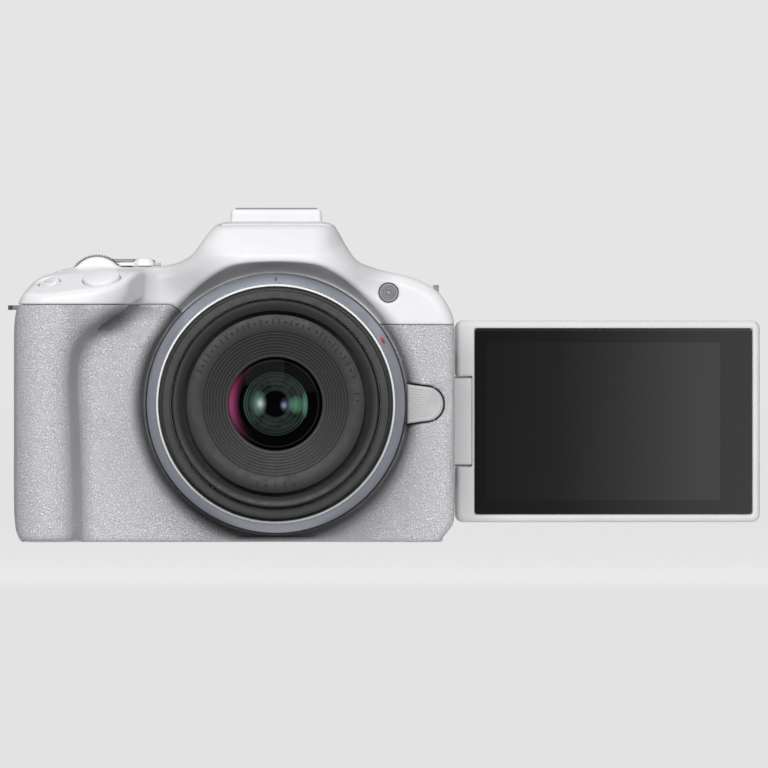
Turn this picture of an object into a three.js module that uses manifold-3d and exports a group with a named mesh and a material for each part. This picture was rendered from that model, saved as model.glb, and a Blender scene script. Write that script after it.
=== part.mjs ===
// An interchangeable-lens mirrorless camera with a retractable zoom lens and a vari-angle screen.
//
// Frame, in millimetres: +Z up, -Y towards the subject, +X towards the side that the screen swings out on.
// The origin is on the base, straight below the lens axis, in the plane of the lens-mount flange.
// The screen stands open at its hinge's limit and faces forwards, and the lens is retracted.

import * as THREE from "three";
import { mergeVertices } from "three/addons/utils/BufferGeometryUtils.js";
import Module from "manifold-3d";

const wasm = await Module();
wasm.setup();

// ---------------------------------------------------------------- driving dimensions

const LEFT = -69.2; // grip side of the body
const RIGHT = 47.1; // screen-hinge side of the body
const FRONT = -4; // main front face
const BACK = 37.5; // main rear face
const GRIP_FRONT = -18.8; // foremost line of the grip
const DECK = 72.6; // top deck
const HUMP_TOP = 85.3; // top of the viewfinder hump
const BROW = -9; // foremost line of the hump
const WALL = 1.6; // thickness of the covers
const PARTING = 22; // plane between front and rear covers
const SEAM_GRIP = 62.7; // lower edge of the top cover on the grip side
const SEAM_HINGE = 57.4; // lower edge of the top cover on the hinge side
const SEAM_STEP = -24; // where the front seam steps from one height to the other
const AXIS_Z = 36.5; // lens axis above the base
const BASE_T = 1.4; // thickness of the base plate and battery door
const CLEAR = 0.15; // gap between neighbouring covers
const RUN = 0.3; // gap round pieces that move
const DECK_SLOPE = 0.445; // rise per millimetre of the deck in front of the dial
const DECK_CANT = 0.12; // sideways rise of the same slope
const BUTTON_AT = [-46, -12.6]; // shutter button's centre in plan
const FAR = 120; // past everything, for cutting tools

const HINGE = { x: 44.4, y: 35, z: 31.8 }; // where the screen's swing and tilt axes cross
const OPEN = THREE.MathUtils.degToRad(5); // the open screen stops this far short of straight
const PANEL = { near: 3.1, far: 83.9, half: 26.75, t: 3.75 }; // from the swing axis, height, thickness
const NOTCH = { deep: 7.2, half: 12.1 }; // room for the hinge block in the panel's edge

// ---------------------------------------------------------------- materials

const plastic = (color, roughness) => new THREE.MeshStandardMaterial({ color, roughness, metalness: 0 });
const metal = (color, roughness) => new THREE.MeshStandardMaterial({ color, roughness, metalness: 1 });
const PAINT = {
  white: plastic(0xececee, 0.42),
  texture: plastic(0xbdbcc0, 0.75),
  satin: plastic(0xd2d3d4, 0.5),
  silver: plastic(0x98a0ac, 0.4),
  black: plastic(0x2c2c2e, 0.55),
  rubber: plastic(0x1b1b1c, 0.9),
  glass: plastic(0x0a0c10, 0.05),
  screen: plastic(0x17171a, 0.1),
  board: plastic(0x1d5a38, 0.6),
  steel: metal(0xb8babd, 0.3),
};

// ---------------------------------------------------------------- solids

// The closed solid of a geometry, with its faces turned outwards.
function toSolid(geometry) {
  const loose = geometry.index ? geometry.toNonIndexed() : geometry;
  const bare = new THREE.BufferGeometry().setAttribute("position", loose.getAttribute("position"));
  const merged = mergeVertices(bare, 1e-4);
  const triVerts = new Uint32Array(merged.index.array);
  const build = () =>
    new wasm.Manifold(
      new wasm.Mesh({ numProp: 3, vertProperties: merged.attributes.position.array, triVerts }),
    );
  const made = build();
  if (made.volume() > 0) return made;
  for (let i = 0; i < triVerts.length; i += 3) triVerts.subarray(i, i + 3).reverse();
  return build();
}

function toGeometry(solid) {
  const made = solid.getMesh();
  const stride = made.numProp;
  const points = new Float32Array(made.numVert * 3);
  for (let i = 0; i < made.numVert; i++) {
    points.set(made.vertProperties.subarray(i * stride, i * stride + 3), i * 3);
  }
  const geometry = new THREE.BufferGeometry().setAttribute("position", new THREE.BufferAttribute(points, 3));
  geometry.setIndex(new THREE.BufferAttribute(new Uint32Array(made.triVerts), 1));
  geometry.computeVertexNormals();
  return geometry;
}

const union = (...solids) => solids.reduce((a, b) => a.add(b));
const cut = (solid, ...tools) => tools.reduce((a, b) => a.subtract(b), solid);

const toShape = (outline) => new THREE.Shape(outline.map(([x, y]) => new THREE.Vector2(x, y)));

// An outline in plan (x, y), standing from z0 to z1, with its edges bevelled.
function standing(outline, z0, z1, bevel = 0) {
  const geometry = new THREE.ExtrudeGeometry(toShape(outline), {
    depth: z1 - z0 - 2 * bevel,
    bevelEnabled: bevel > 0,
    bevelThickness: bevel,
    bevelSize: bevel,
    bevelOffset: -bevel,
    bevelSegments: 2,
  });
  return toSolid(geometry.translate(0, 0, z0 + bevel));
}

// An outline seen from the front (x, z), running from y0 back to y1, with its edges bevelled.
function facing(outline, y0, y1, bevel = 0) {
  const geometry = new THREE.ExtrudeGeometry(toShape(outline), {
    depth: y1 - y0 - 2 * bevel,
    bevelEnabled: bevel > 0,
    bevelThickness: bevel,
    bevelSize: bevel,
    bevelOffset: -bevel,
    bevelSegments: 2,
  });
  return toSolid(geometry.rotateX(Math.PI / 2).translate(0, y1 - bevel, 0));
}

function block([x0, x1], [y0, y1], [z0, z1]) {
  const geometry = new THREE.BoxGeometry(x1 - x0, y1 - y0, z1 - z0);
  return toSolid(geometry.translate((x0 + x1) / 2, (y0 + y1) / 2, (z0 + z1) / 2));
}

// A profile of [radius, y] pairs turned about the lens axis.
function turned(profile, segments = 56) {
  const points = profile.map(([r, y]) => new THREE.Vector2(r, y));
  if (profile[0][0] > 0) points.push(points[0].clone());
  return toSolid(new THREE.LatheGeometry(points, segments).translate(0, 0, AXIS_Z));
}

// A rod from one point to another.
function rod(from, to, radius, segments = 24) {
  const a = new THREE.Vector3(...from);
  const b = new THREE.Vector3(...to);
  const along = b.clone().sub(a);
  const up = new THREE.Vector3(0, 1, 0);
  const turn = new THREE.Quaternion().setFromUnitVectors(up, along.clone().normalize());
  const geometry = new THREE.CylinderGeometry(radius, radius, along.length(), segments);
  const middle = a.add(b).multiplyScalar(0.5);
  return toSolid(geometry.applyQuaternion(turn).translate(middle.x, middle.y, middle.z));
}

// Points along an arc, from one angle in degrees to another.
const arc = ([x, y], radius, from, to, steps) =>
  Array.from({ length: steps + 1 }, (_, i) => {
    const a = THREE.MathUtils.degToRad(from + ((to - from) * i) / steps);
    return [x + radius * Math.cos(a), y + radius * Math.sin(a)];
  });

const roundedRectangle = (x0, x1, y0, y1, radius, steps = 4) => [
  ...arc([x1 - radius, y0 + radius], radius, -90, 0, steps),
  ...arc([x1 - radius, y1 - radius], radius, 0, 90, steps),
  ...arc([x0 + radius, y1 - radius], radius, 90, 180, steps),
  ...arc([x0 + radius, y0 + radius], radius, 180, 270, steps),
];

// A counter-clockwise outline moved inwards.
function inset(outline, by) {
  if (by === 0) return outline;
  const n = outline.length;
  return outline.map((p, i) => {
    const [a, b] = [outline[(i + n - 1) % n], outline[(i + 1) % n]];
    const e = new THREE.Vector2(p[0] - a[0], p[1] - a[1]).normalize();
    const f = new THREE.Vector2(b[0] - p[0], b[1] - p[1]).normalize();
    const k = by / (1 + e.dot(f));
    return [p[0] - (e.y + f.y) * k, p[1] + (e.x + f.x) * k];
  });
}

// Everything above the plane that rises from a point with the given slopes along x and y.
function above([x, y, z], slopeX, slopeY) {
  const geometry = new THREE.BoxGeometry(2 * FAR, 2 * FAR, FAR).translate(0, 0, FAR / 2);
  const normal = new THREE.Vector3(-slopeX, -slopeY, 1).normalize();
  const turn = new THREE.Quaternion().setFromUnitVectors(new THREE.Vector3(0, 0, 1), normal);
  return toSolid(geometry.applyQuaternion(turn).translate(x, y, z));
}

// ---------------------------------------------------------------- the body's outer form

const LOWER_OUTLINE = [
  [-66.6, 0], [43.2, 0], [46.2, 2.6], [RIGHT, 6], [RIGHT, 56.5], [45.8, 62], [43.2, 65.6], [40, 68],
  [36, 69.8], [24, DECK], [-52, DECK], [-57, 71.6], [-61.5, 70.2], [-64.8, 67.6], [-67.8, 63.3],
  [LEFT, 58], [LEFT, 9], [-68.5, 2.6],
];
const HUMP_OUTLINE = [
  [-24, 64], [24, 64], [24.4, DECK], [21.4, 74], [19.2, 77.2], [16.6, 81.6], [14.6, 84.3], [11.5, HUMP_TOP],
  [-11.5, HUMP_TOP], [-15.4, 84.3], [-18, 81.4], [-21, 77.2], [-23.6, 74.4], [-27, DECK],
];
const GRIP_PLAN = [
  [LEFT, 4], [LEFT, -9], [-67.6, -14.5], [-64.6, -17.8], [-60.6, GRIP_FRONT], [-57, -18.2], [-54.8, -15.5],
  [-50.5, -6], [-48, -2.4], [-48, 4],
];
const SHELF_PLAN = [
  [LEFT, 6], [LEFT, -8], [-67, -14.5], [-63, -17.8], [-57, GRIP_FRONT], [-46, GRIP_FRONT], [-41, -17.4],
  [-38, -13.4], [-36.5, -6], [-36.5, 6],
];

// The sloping deck that the shutter button stands on: its height above a point in plan.
const deckHeight = (x, y) => 66.8 + DECK_CANT * (x + 46) + DECK_SLOPE * (y - GRIP_FRONT);

// The body as one solid, or, with by above 0, the space that a wall of that thickness leaves inside.
function bodyForm(by) {
  const slab = facing(inset(LOWER_OUTLINE, by), FRONT + by, BACK - by, by ? 0 : 2);
  const hump = facing(inset(HUMP_OUTLINE, by), BROW + by, BACK - 1 - by, by ? 0 : 1.5);
  const leaning = above([0, BROW + by, 73], 0, 3);
  const grip = standing(inset(GRIP_PLAN, by), by, SEAM_GRIP, by ? 0 : 1.5);
  const hollow = above([-51, 0, 55.5 + by], 0.42, 0);
  const shelf = standing(inset(SHELF_PLAN, by), 54, DECK - by, by ? 0 : 1).intersect(hollow);
  const silhouette = facing(inset(LOWER_OUTLINE, by), -FAR, FAR);
  const slope = above([-46, GRIP_FRONT, deckHeight(-46, GRIP_FRONT) - by * 1.1], DECK_CANT, DECK_SLOPE);
  const handle = cut(union(grip, shelf).intersect(silhouette), slope);
  const thumbRest = standing(roundedRectangle(-67.5, -48, 30, 41, 3), 40, 58.5, 1.4);
  const eyepiece = block([-14.5 + by, 14.5 - by], [30, 44 - by], [61.4 + by, 81.5 - by]);
  return union(slab, hump.subtract(leaning), handle, eyepiece, ...(by ? [] : [thumbRest]));
}

// The dished recess round the lens mount, grown by a wall's thickness.
function mountDish(by) {
  const floor = 1.2 + by;
  return turned([[0, -40], [37.6 + by, -40], [37.3 + by, BROW], [34.4 + by, floor], [0, floor]], 72);
}

// The pocket in the back that the closed screen lies in. It is open at the back and on the hinge side.
function screenPocket(by) {
  return block([-40.2 - by, FAR], [30.8 - by, FAR], [4.4 - by, 59.2 + by]);
}

// The covers' material before it is parted: the form less its inside.
const skin = cut(bodyForm(0), mountDish(0), screenPocket(0)).subtract(
  cut(bodyForm(WALL), mountDish(WALL), screenPocket(1.4)),
);

// ---------------------------------------------------------------- what the covers have to leave open

const shutterAxis = new THREE.Vector3(-DECK_CANT, -DECK_SLOPE, 1).normalize();
const alongAxis = ([x, y, z], axis, distance) => [
  x + axis.x * distance,
  y + axis.y * distance,
  z + axis.z * distance,
];

const functionAxis = new THREE.Vector3(-0.42, -0.36, 0.83).normalize();
const upwards = new THREE.Vector3(0, 0, 1);
const backwards = new THREE.Vector3(0, 1, 0);

// Round buttons: a centre on the surface, the way out of it, a radius, and the distances out and in.
const SHUTTER = {
  at: [...BUTTON_AT, deckHeight(...BUTTON_AT)],
  axis: shutterAxis,
  r: 4.9,
  rise: 1.2,
  deep: 4,
};
const FUNCTION = { at: [-59.9, -10.4, 68.4], axis: functionAxis, r: 2.8, rise: 0.6, deep: 3 };
const upButton = (x, y, r) => ({ at: [x, y, DECK - 0.4], axis: upwards, r, rise: 0.9, deep: 3 });
const backButton = (x, z, r, y = BACK) => ({ at: [x, y, z], axis: backwards, r, rise: 0.6, deep: 3 });
const MOVIE = upButton(-54.5, 18, 2.6);
const SPEED = upButton(-56, 11, 2.3);
const PAD = backButton(-54, 30.5, 9);
const SET = backButton(-54, 30.5, 3.9);
const INFO = backButton(-45.5, 46.5, 2.4);
const MENU = backButton(-60.5, 13.5, 2.6);
const PLAY = backButton(-47, 13.5, 2.6);
const LOCK = backButton(-47, 66.8, 2.3, BACK - 0.2);
const POINT = backButton(-55.5, 66.8, 2.3, BACK - 0.2);
const BUTTONS = { SHUTTER, FUNCTION, MOVIE, SPEED, PAD, INFO, MENU, PLAY, LOCK, POINT };

const buttonHole = ({ at, axis, r, deep }) =>
  rod(alongAxis(at, axis, -deep - 2), alongAxis(at, axis, 4), r + RUN);

const DIAL = { x: -47.2, y0: 0.6, y1: 6, z: 68.2, r: 7.8 }; // main dial: its axis runs front to back
const MODE = { x: -40, y: 20, r: 8, z0: 72.9, z1: 75 };
const RELEASE_OUTLINE = [
  [35.2, 31.6], ...arc([39.3, 36.2], 4.8, -85, 85, 10), [35.2, 40.8],
];
const LAMP = { x: 29.7, z: 65.8, r: 2.4 };
const FLASH = { half: 14.6, y0: -3.2, y1: 9.6, z0: 79.6, step: 82.6, pivot: [9.2, 83.9] };
const SHOE = { half: 10.8, y0: 13.2, y1: 32, z0: 85.6, floor: 86.4, top: 88.3, slot: 9.4, throat: 6.3 };
const RISER = { half: 12, y0: 12, y1: 32.6, top: 87.9 };
const BRACKET = { x0: 41.9, x1: 46.6, y0: 29.5, y1: 31, z0: 14.2, z1: 49.4 };
const DOOR_PLAN = [
  [-65.8, -6], [-53.8, -6], [-49.8, 0.8], [-43.4, 0.8], [-43.4, 31.4], [-65.8, 31.4],
];
const DIOPTER = { x0: -16.4, x1: -11.6, y: 40.6, z: 72, r: 2.8 };
const SOCKET = { x: 0, y: 18, r: 6 };
const PIN_X = 29.4; // where the lens lock pin crosses the flange
const FLAP = 0.9; // how deep the rubber flaps in the sides lie
const MIC = { y0: 8, y1: 19.5, z0: 24, z1: 50 };
const JACK = { y: 14, z: 37, r: 1.2 }; // plug on the inside of the microphone flap
const PORT = { y0: 24, y1: 34.5, z0: 18, z1: 46 };
const STRAP = { y0: 9.8, y1: 20.2 }; // both strap lugs, front to back
const GRIP_LUG = { x0: -70.9, x1: -64, z0: 61.3, z1: 62.5 }; // lies flat, out of the grip side
const HINGE_LUG = { x0: 41.5, x1: 43, z0: 59.5, z1: 67.9 }; // stands up out of the shoulder

// What lies above the seam under the top cover. In front the seam drops to a lower line on the hinge side.
function topRegion(gap) {
  const upper = block([-FAR, FAR], [-FAR, FAR], [SEAM_GRIP + gap, FAR]);
  const lower = block([SEAM_STEP + gap, FAR], [-FAR, PARTING - gap], [SEAM_HINGE + gap, SEAM_GRIP + 1]);
  return upper.add(lower);
}

// The room that a flap in a side of the body takes.
const flapRoom = (x, { y0, y1, z0, z1 }) =>
  block(x, [y0 - CLEAR, y1 + CLEAR], [z0 - CLEAR, z1 + CLEAR]);

// The room that a strap lug takes, from one height to another.
const strapRoom = ({ x0, x1 }, z) => block([x0 - 0.6, x1 + 0.6], [STRAP.y0 - RUN, STRAP.y1 + RUN], z);

function makeTopCover() {
  const riser = block([-RISER.half, RISER.half], [RISER.y0, RISER.y1], [84, RISER.top]);
  const shoe = block([-SHOE.half - CLEAR, SHOE.half + CLEAR], [SHOE.y0 - CLEAR, FAR], [SHOE.z0 - CLEAR, FAR]);
  const flashPocket = block([-FLASH.half - RUN, FLASH.half + RUN], [FLASH.y0 - RUN, 11.5], [79.2, FAR]);
  const dialSlot = block([DIAL.x - 7.9, DIAL.x + 7.9], [DIAL.y0 - RUN, DIAL.y1 + RUN], [69.5, FAR]);
  const modeShaft = rod([MODE.x, MODE.y, 68], [MODE.x, MODE.y, 80], 2.8);
  const lamp = rod([LAMP.x, FRONT - 3, LAMP.z], [LAMP.x, FRONT + 4, LAMP.z], LAMP.r + CLEAR);
  const viewHole = block([-11, 11], [40, 50], [65, 78.5]);
  const diopter = rod([-20, DIOPTER.y, DIOPTER.z], [DIOPTER.x1 + RUN, DIOPTER.y, DIOPTER.z], DIOPTER.r + RUN);
  const hingeStrap = strapRoom(HINGE_LUG, [HINGE_LUG.z0 - 1, 72]);
  return cut(
    skin.intersect(topRegion(CLEAR)).add(riser),
    shoe,
    throat, flashPocket, dialSlot, modeShaft, lamp, viewHole, diopter, hingeStrap,
    ...Object.values(BUTTONS).map(buttonHole),
  );
}

const frontRegion = block([-FAR, FAR], [-FAR, PARTING - CLEAR], [-FAR, FAR]);
const BASE_PLAN = [
  [-66.4, -8], [-64.6, -14], [-61, -16.6], [-57.6, -16.2], [-49.4, -2], [44, -1.4], [44, 36], [-66.4, 36],
];

// The opening in the bottom of the covers that the base plate closes.
const baseOpening = standing(inset(BASE_PLAN, -CLEAR), -1, WALL + 0.3);

// The opening in the front of the covers that the mount ring closes.
const throat = rod([0, -2, AXIS_Z], [0, 6, AXIS_Z], 32.3, 64);

function makeFrontCover() {
  const release = facing(inset(RELEASE_OUTLINE, -RUN), -12, 4);
  const mic = flapRoom([RIGHT - FLAP - CLEAR, RIGHT + 5], MIC);
  const jack = rod([RIGHT - 6, JACK.y, JACK.z], [RIGHT + 1, JACK.y, JACK.z], 2.6);
  const strap = strapRoom(GRIP_LUG, [GRIP_LUG.z0 - 0.2, SEAM_GRIP + RUN]);
  const whole = cut(skin.intersect(frontRegion), topRegion(0), baseOpening);
  return cut(whole, throat, release, mic, jack, strap);
}

function makeRearCover() {
  const port = flapRoom([LEFT - 5, LEFT + FLAP + CLEAR], PORT);
  const sockets = block([LEFT - 1, LEFT + 5], [27, 31.5], [23, 41]);
  const bracket = block(
    [BRACKET.x0 - CLEAR, FAR],
    [BRACKET.y0 - 2, BRACKET.y1 + 1],
    [BRACKET.z0 - CLEAR, BRACKET.z1 + CLEAR],
  );
  const rearRegion = block([-FAR, FAR], [PARTING, FAR], [-FAR, FAR]);
  const whole = cut(skin.intersect(rearRegion), topRegion(0), baseOpening);
  return cut(whole, port, sockets, bracket, ...Object.values(BUTTONS).map(buttonHole));
}

function makeBasePlate() {
  const plate = standing(BASE_PLAN, 0, BASE_T);
  const door = standing(inset(DOOR_PLAN, -RUN), -1, 3);
  const socket = rod([SOCKET.x, SOCKET.y, -1], [SOCKET.x, SOCKET.y, 3], SOCKET.r + CLEAR, 32);
  return cut(plate, door, socket);
}

// ---------------------------------------------------------------- controls

// A round push button with a domed top and a narrower stem.
function makeButton({ at, axis, r, rise, deep }, segments = 28) {
  const cap = rod(alongAxis(at, axis, -deep), alongAxis(at, axis, rise - 0.5), r, segments);
  const crown = rod(alongAxis(at, axis, -deep), alongAxis(at, axis, rise), r - 0.7, segments);
  return cap.add(crown);
}

function makeMainDial() {
  const teeth = 30;
  const outline = Array.from({ length: teeth * 2 }, (_, i) => {
    const a = (Math.PI * i) / teeth;
    const r = i % 2 ? DIAL.r : DIAL.r - 0.45;
    return [DIAL.x + r * Math.cos(a), DIAL.z + r * Math.sin(a)];
  });
  const axle = rod([DIAL.x, DIAL.y0 - 2, DIAL.z], [DIAL.x, DIAL.y1 + 2, DIAL.z], 1.4, 16);
  return facing(outline, DIAL.y0, DIAL.y1).add(axle);
}

function makeModeDial() {
  const teeth = 36;
  const outline = Array.from({ length: teeth * 2 }, (_, i) => {
    const a = (Math.PI * i) / teeth;
    const r = i % 2 ? MODE.r : MODE.r - 0.3;
    return [MODE.x + r * Math.cos(a), MODE.y + r * Math.sin(a)];
  });
  const shaft = rod([MODE.x, MODE.y, 66], [MODE.x, MODE.y, MODE.z1 - 0.5], 2.5);
  return standing(outline, MODE.z0, MODE.z1, 0).add(shaft);
}

function makePowerLever() {
  const ring = rod([MODE.x, MODE.y, MODE.z0], [MODE.x, MODE.y, 73.8], 9.6, 40);
  const hole = rod([MODE.x, MODE.y, 70], [MODE.x, MODE.y, 78], MODE.r + RUN, 40);
  const tab = standing(roundedRectangle(-37.6, -32.2, 9.2, 13.4, 1.6), MODE.z0, 75.1, 0.5);
  return cut(ring.add(tab), hole);
}

// A ring that rocks four ways round the set button.
function makeCrossPad() {
  const { at: [x, y, z] } = PAD;
  const ring = rod([x, y - 2.5, z], [x, y + 0.7, z], PAD.r, 40);
  return ring.subtract(rod([x, y - 5, z], [x, y + 5, z], SET.r + RUN, 32));
}

function makeRelease() {
  const face = facing(RELEASE_OUTLINE, FRONT - 1.2, FRONT + 1.8, 0.4);
  return face.add(rod([40, FRONT + 1, AXIS_Z], [40, FRONT + 8, AXIS_Z], 2, 16));
}

// The pin that the release button draws back out of the lens bayonet.
const makeLockPin = () =>
  union(
    rod([PIN_X, -0.6, AXIS_Z], [PIN_X, 6.5, AXIS_Z], 1.1, 16),
    block([28.6, 41], [4.1, 5.6], [AXIS_Z - 1.5, AXIS_Z + 1.5]).subtract(
      rod([40, 0, AXIS_Z], [40, 9, AXIS_Z], 2.15, 16),
    ),
  );

function makeDiopterDial() {
  const { x0, x1, y, z, r } = DIOPTER;
  return rod([x0, y, z], [x1, y, z], r, 30);
}

// ---------------------------------------------------------------- doors, strap lugs and fittings

function makeBatteryDoor() {
  const plate = standing(DOOR_PLAN, 0, BASE_T);
  const recess = block([-63, -56.6], [7, 17.5], [-1, 0.7]);
  const slot = block([-61.4, -58.6], [9, 15.5], [-1, 3]);
  return cut(plate, recess, slot);
}

// A thumb plate in the door's recess, with a hook that reaches up through the door's slot.
function makeDoorLatch() {
  const plate = block([-62.8, -58.4], [7.3, 17.2], [0.05, 0.55]);
  return plate.add(block([-61.2, -60.4], [10, 14.5], [0.3, BASE_T + 0.8]));
}

const makeMicDoor = () =>
  union(
    block([RIGHT - FLAP, RIGHT - 0.1], [MIC.y0, MIC.y1], [MIC.z0, MIC.z1]),
    rod([RIGHT - 2.4, JACK.y, JACK.z], [RIGHT - 0.3, JACK.y, JACK.z], JACK.r, 16),
  );

const makePortDoor = () => block([LEFT + 0.1, LEFT + FLAP], [PORT.y0, PORT.y1], [PORT.z0, PORT.z1]);

// A pressed steel eye for the neck strap.
function makeGripStrapLug() {
  const { x0, x1, z0, z1 } = GRIP_LUG;
  const plate = standing(roundedRectangle(x0, x1, STRAP.y0, STRAP.y1, 1.2, 2), z0, z1);
  return plate.subtract(block([x0 + 0.8, LEFT - 0.2], [STRAP.y0 + 2.2, STRAP.y1 - 2.2], [z0 - 1, z1 + 1]));
}

function makeHingeStrapLug() {
  const { x0, x1, z0, z1 } = HINGE_LUG;
  const eye = block([x0, x1], [STRAP.y0, STRAP.y1], [z0, z1]);
  const slit = block([x0 - 1, x1 + 1], [STRAP.y0 + 2.6, STRAP.y1 - 2.6], [z1 - 0.9, z1 - 0.4]);
  return eye.subtract(slit);
}

function makeHotShoe() {
  const { half, y0, y1, z0, floor, top, slot, throat } = SHOE;
  const channel = block([-half, half], [y0, y1], [z0, top]);
  const way = block([-slot, slot], [y0 + 1.2, FAR], [floor, top - 0.7]);
  const gate = block([-throat, throat], [y0 + 1.2, FAR], [floor, FAR]);
  return cut(channel, way, gate);
}

const makeShoeContacts = () => block([-4.5, 4.5], [16, 28], [SHOE.floor + 0.05, SHOE.floor + 0.35]);

function makeTripodSocket() {
  const bush = rod([SOCKET.x, SOCKET.y, 0], [SOCKET.x, SOCKET.y, 6.5], SOCKET.r, 32);
  return bush.subtract(rod([SOCKET.x, SOCKET.y, -1], [SOCKET.x, SOCKET.y, 5.5], 3.2, 24));
}

const makeLamp = () => rod([LAMP.x, FRONT - 0.1, LAMP.z], [LAMP.x, FRONT + 3, LAMP.z], LAMP.r, 28);

// The head turns up about its upper rear edge, so the lower half of its front stands back a little.
function makeFlashHead() {
  const { half, y0, y1, z0, step, pivot } = FLASH;
  const head = facing(HUMP_OUTLINE, y0, y1).intersect(block([-half, half], [y0, y1], [z0, FAR]));
  const relief = block([-FAR, FAR], [y0 - 1, y0 + 0.9], [0, step]);
  const knuckle = rod([-half, ...pivot], [half, ...pivot], 1.2, 20);
  const window = block([-11.2, 11.2], [-1.2, 5.2], [z0 - 1, z0 + 0.9]);
  return cut(head.add(knuckle), relief, window);
}

const makeFlashWindow = () => block([-11, 11], [-1, 5], [FLASH.z0 + 0.05, FLASH.z0 + 0.8]);

// ---------------------------------------------------------------- viewfinder

function makeEyecup() {
  const outer = facing(roundedRectangle(-17, 17, 61, 82.4, 5, 3), 44.2, 50, 1.4);
  const inner = facing(roundedRectangle(-12, 12, 64.6, 78.8, 3.4, 3), 40, 60);
  return cut(outer, inner);
}

const makeEyepieceLens = () => block([-10.8, 10.8], [41.4, 43.6], [65.2, 78.3]);

const makeViewfinderUnit = () =>
  union(block([-11.5, 11.5], [16, 38], [64.5, 78.4]), block([-9.5, 9.5], [12.5, 16], [65.5, 76.5]));

// ---------------------------------------------------------------- mount, shutter, sensor, boards, power

function makeMountRing() {
  const flange = turned([[27, 0], [32.1, 0], [32.1, 1.3], [31, 1.3], [31, 3.4], [27, 3.4]]);
  return flange.subtract(rod([PIN_X, -1, AXIS_Z], [PIN_X, 9, AXIS_Z], 1.25, 16));
}

// The chassis plate behind the mount, with the light box reaching back from it to the shutter.
function makeMountFrame() {
  const plate = block([-33, 33], [3.6, 5.2], [8, 61]);
  const box = block([-20, 20], [5.1, 12], [21, 52]);
  const lightPath = block([-18.5, 18.5], [0, 13], [22.5, 50.5]);
  const pinSlot = block([27, 34], [0, 9], [AXIS_Z - 2, AXIS_Z + 2]);
  return cut(plate.add(box), lightPath, pinSlot);
}

function makeShutterUnit() {
  const plate = block([-21, 21], [12.2, 13.6], [9, 49]).subtract(block([-12.2, 12.2], [10, 16], [28, 45]));
  const rails = [[-21, -14.2], [14.2, 21]].map((x) => block(x, [13.5, 15.4], [9, 49]));
  return union(plate, ...rails);
}

const makeShutterCurtain = () => block([-13.8, 13.8], [14, 14.4], [10, 27.6]);

// The sensor's filter glass, its package and its circuit board, bonded together.
const makeSensorModule = () =>
  union(
    block([-13.5, 13.5], [16, 17.4], [27, 46]),
    block([-14.5, 14.5], [17.3, 20.5], [26, 47]),
    block([-20, 20], [20.4, 21.8], [18, 56]),
  );

function makeMainBoard() {
  const board = block([-34, 34], [25, 26], [8, 58]);
  const chips = [
    [[-12, 4], [26, 27.6], [26, 42]],
    [[10, 20], [26, 27.2], [30, 40]],
    [[-28, -18], [26, 27.4], [14, 26]],
    [[14, 28], [26, 27.8], [12, 20]],
  ];
  return union(board, ...chips.map((c) => block(...c)));
}

const BATTERY = { x0: -66, x1: -52, y0: -2.2, y1: 30.8, z0: 4, z1: 53.4 };
const CARD = { x0: -49.4, x1: -47.3, y0: 3, y1: 27, z0: 4.5, z1: 36.5 };

// A sleeve for the battery and, beside it, one for the memory card, both open at the bottom.
function makeBatteryBox() {
  const sleeve = ({ x0, x1, y0, y1, z0, z1 }) =>
    cut(
      block([x0 - 1.1, x1 + 1.1], [y0 - 1, y1 + 1], [z0 + 3.4, z1 + 1.4]),
      block([x0 - RUN, x1 + RUN], [y0 - RUN, y1 + RUN], [z0 - 2, z1 + RUN]),
    );
  return union(sleeve(BATTERY), sleeve(CARD), block([-51.2, -50], [4, 26], [12, 34]));
}

const makeBattery = () => {
  const { x0, x1, y0, y1, z0, z1 } = BATTERY;
  return standing(roundedRectangle(x0, x1, y0, y1, 2.5, 2), z0, z1);
};

const makeMemoryCard = () => block([CARD.x0, CARD.x1], [CARD.y0, CARD.y1], [CARD.z0, CARD.z1]);

// ---------------------------------------------------------------- lens

// Bayonet: a flange that meets the body's mount ring, and a tube that reaches into its throat.
const makeLensBayonet = () => cut(
  turned([[23.5, -3], [27, -3], [31.6, -3], [31.6, -0.1], [26.6, -0.1], [26.6, 3.3], [23.5, 3.3]]),
  rod([PIN_X, -2, AXIS_Z], [PIN_X, 1, AXIS_Z], 1.3, 16),
);

// Fixed barrel: the silver cone and the sleeve that the rings turn on.
const makeLensBarrel = () => turned([
  [27.5, -3.1], [33, -3.1], [34.5, -5], [34.5, -9], [31.9, -17.5], [31, -17.5], [31, -14], [28.2, -14],
  [28.2, -40.4], [27.5, -40.4],
], 64);

const makeZoomRing = () => turned([
  [28.5, -14.3], [30.7, -14.3], [30.7, -17.8], [31.7, -17.8], [31.7, -32.2], [30.9, -33], [28.5, -33],
], 64);

const makeFocusRing = () => turned([
  [28.5, -33.3], [30, -33.3], [30, -40.7], [29.6, -41.2], [27.6, -41.2], [27.6, -40.7], [28.5, -40.7],
], 64);

// Moving tube with the filter rim and the stepped baffle in front of the glass.
function makeInnerBarrel() {
  const steps = 4;
  const baffle = Array.from({ length: steps * 2 }, (_, i) => {
    const k = Math.floor((i + 1) / 2);
    return [19.4 - k * 1.6, -41 + Math.floor(i / 2) * 0.45];
  });
  return turned([
    [24.6, -22], [27.2, -22], [27.2, -43.9], [26.8, -44.3], [25.3, -44.3], [24.5, -43.4], [24.5, -41.6],
    [23.7, -41.2], [23.7, -41], ...baffle, [12.5, -38.5], [12.5, -35.5], [24.6, -35.5],
  ]);
}

function makeFrontElement() {
  const radius = 12.2;
  const crown = Array.from({ length: 6 }, (_, i) => {
    const r = (radius * i) / 5;
    return [r, -39.1 + 0.0105 * r * r];
  });
  return turned([...crown, [radius, -36.2], [0, -36.2]], 40);
}

const makeIrisUnit = () => turned([
  [4, -28.5], [24.3, -28.5], [24.3, -25.5], [12, -25.5], [12, -27.7], [4, -27.7],
], 40);

// ---------------------------------------------------------------- screen

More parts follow.
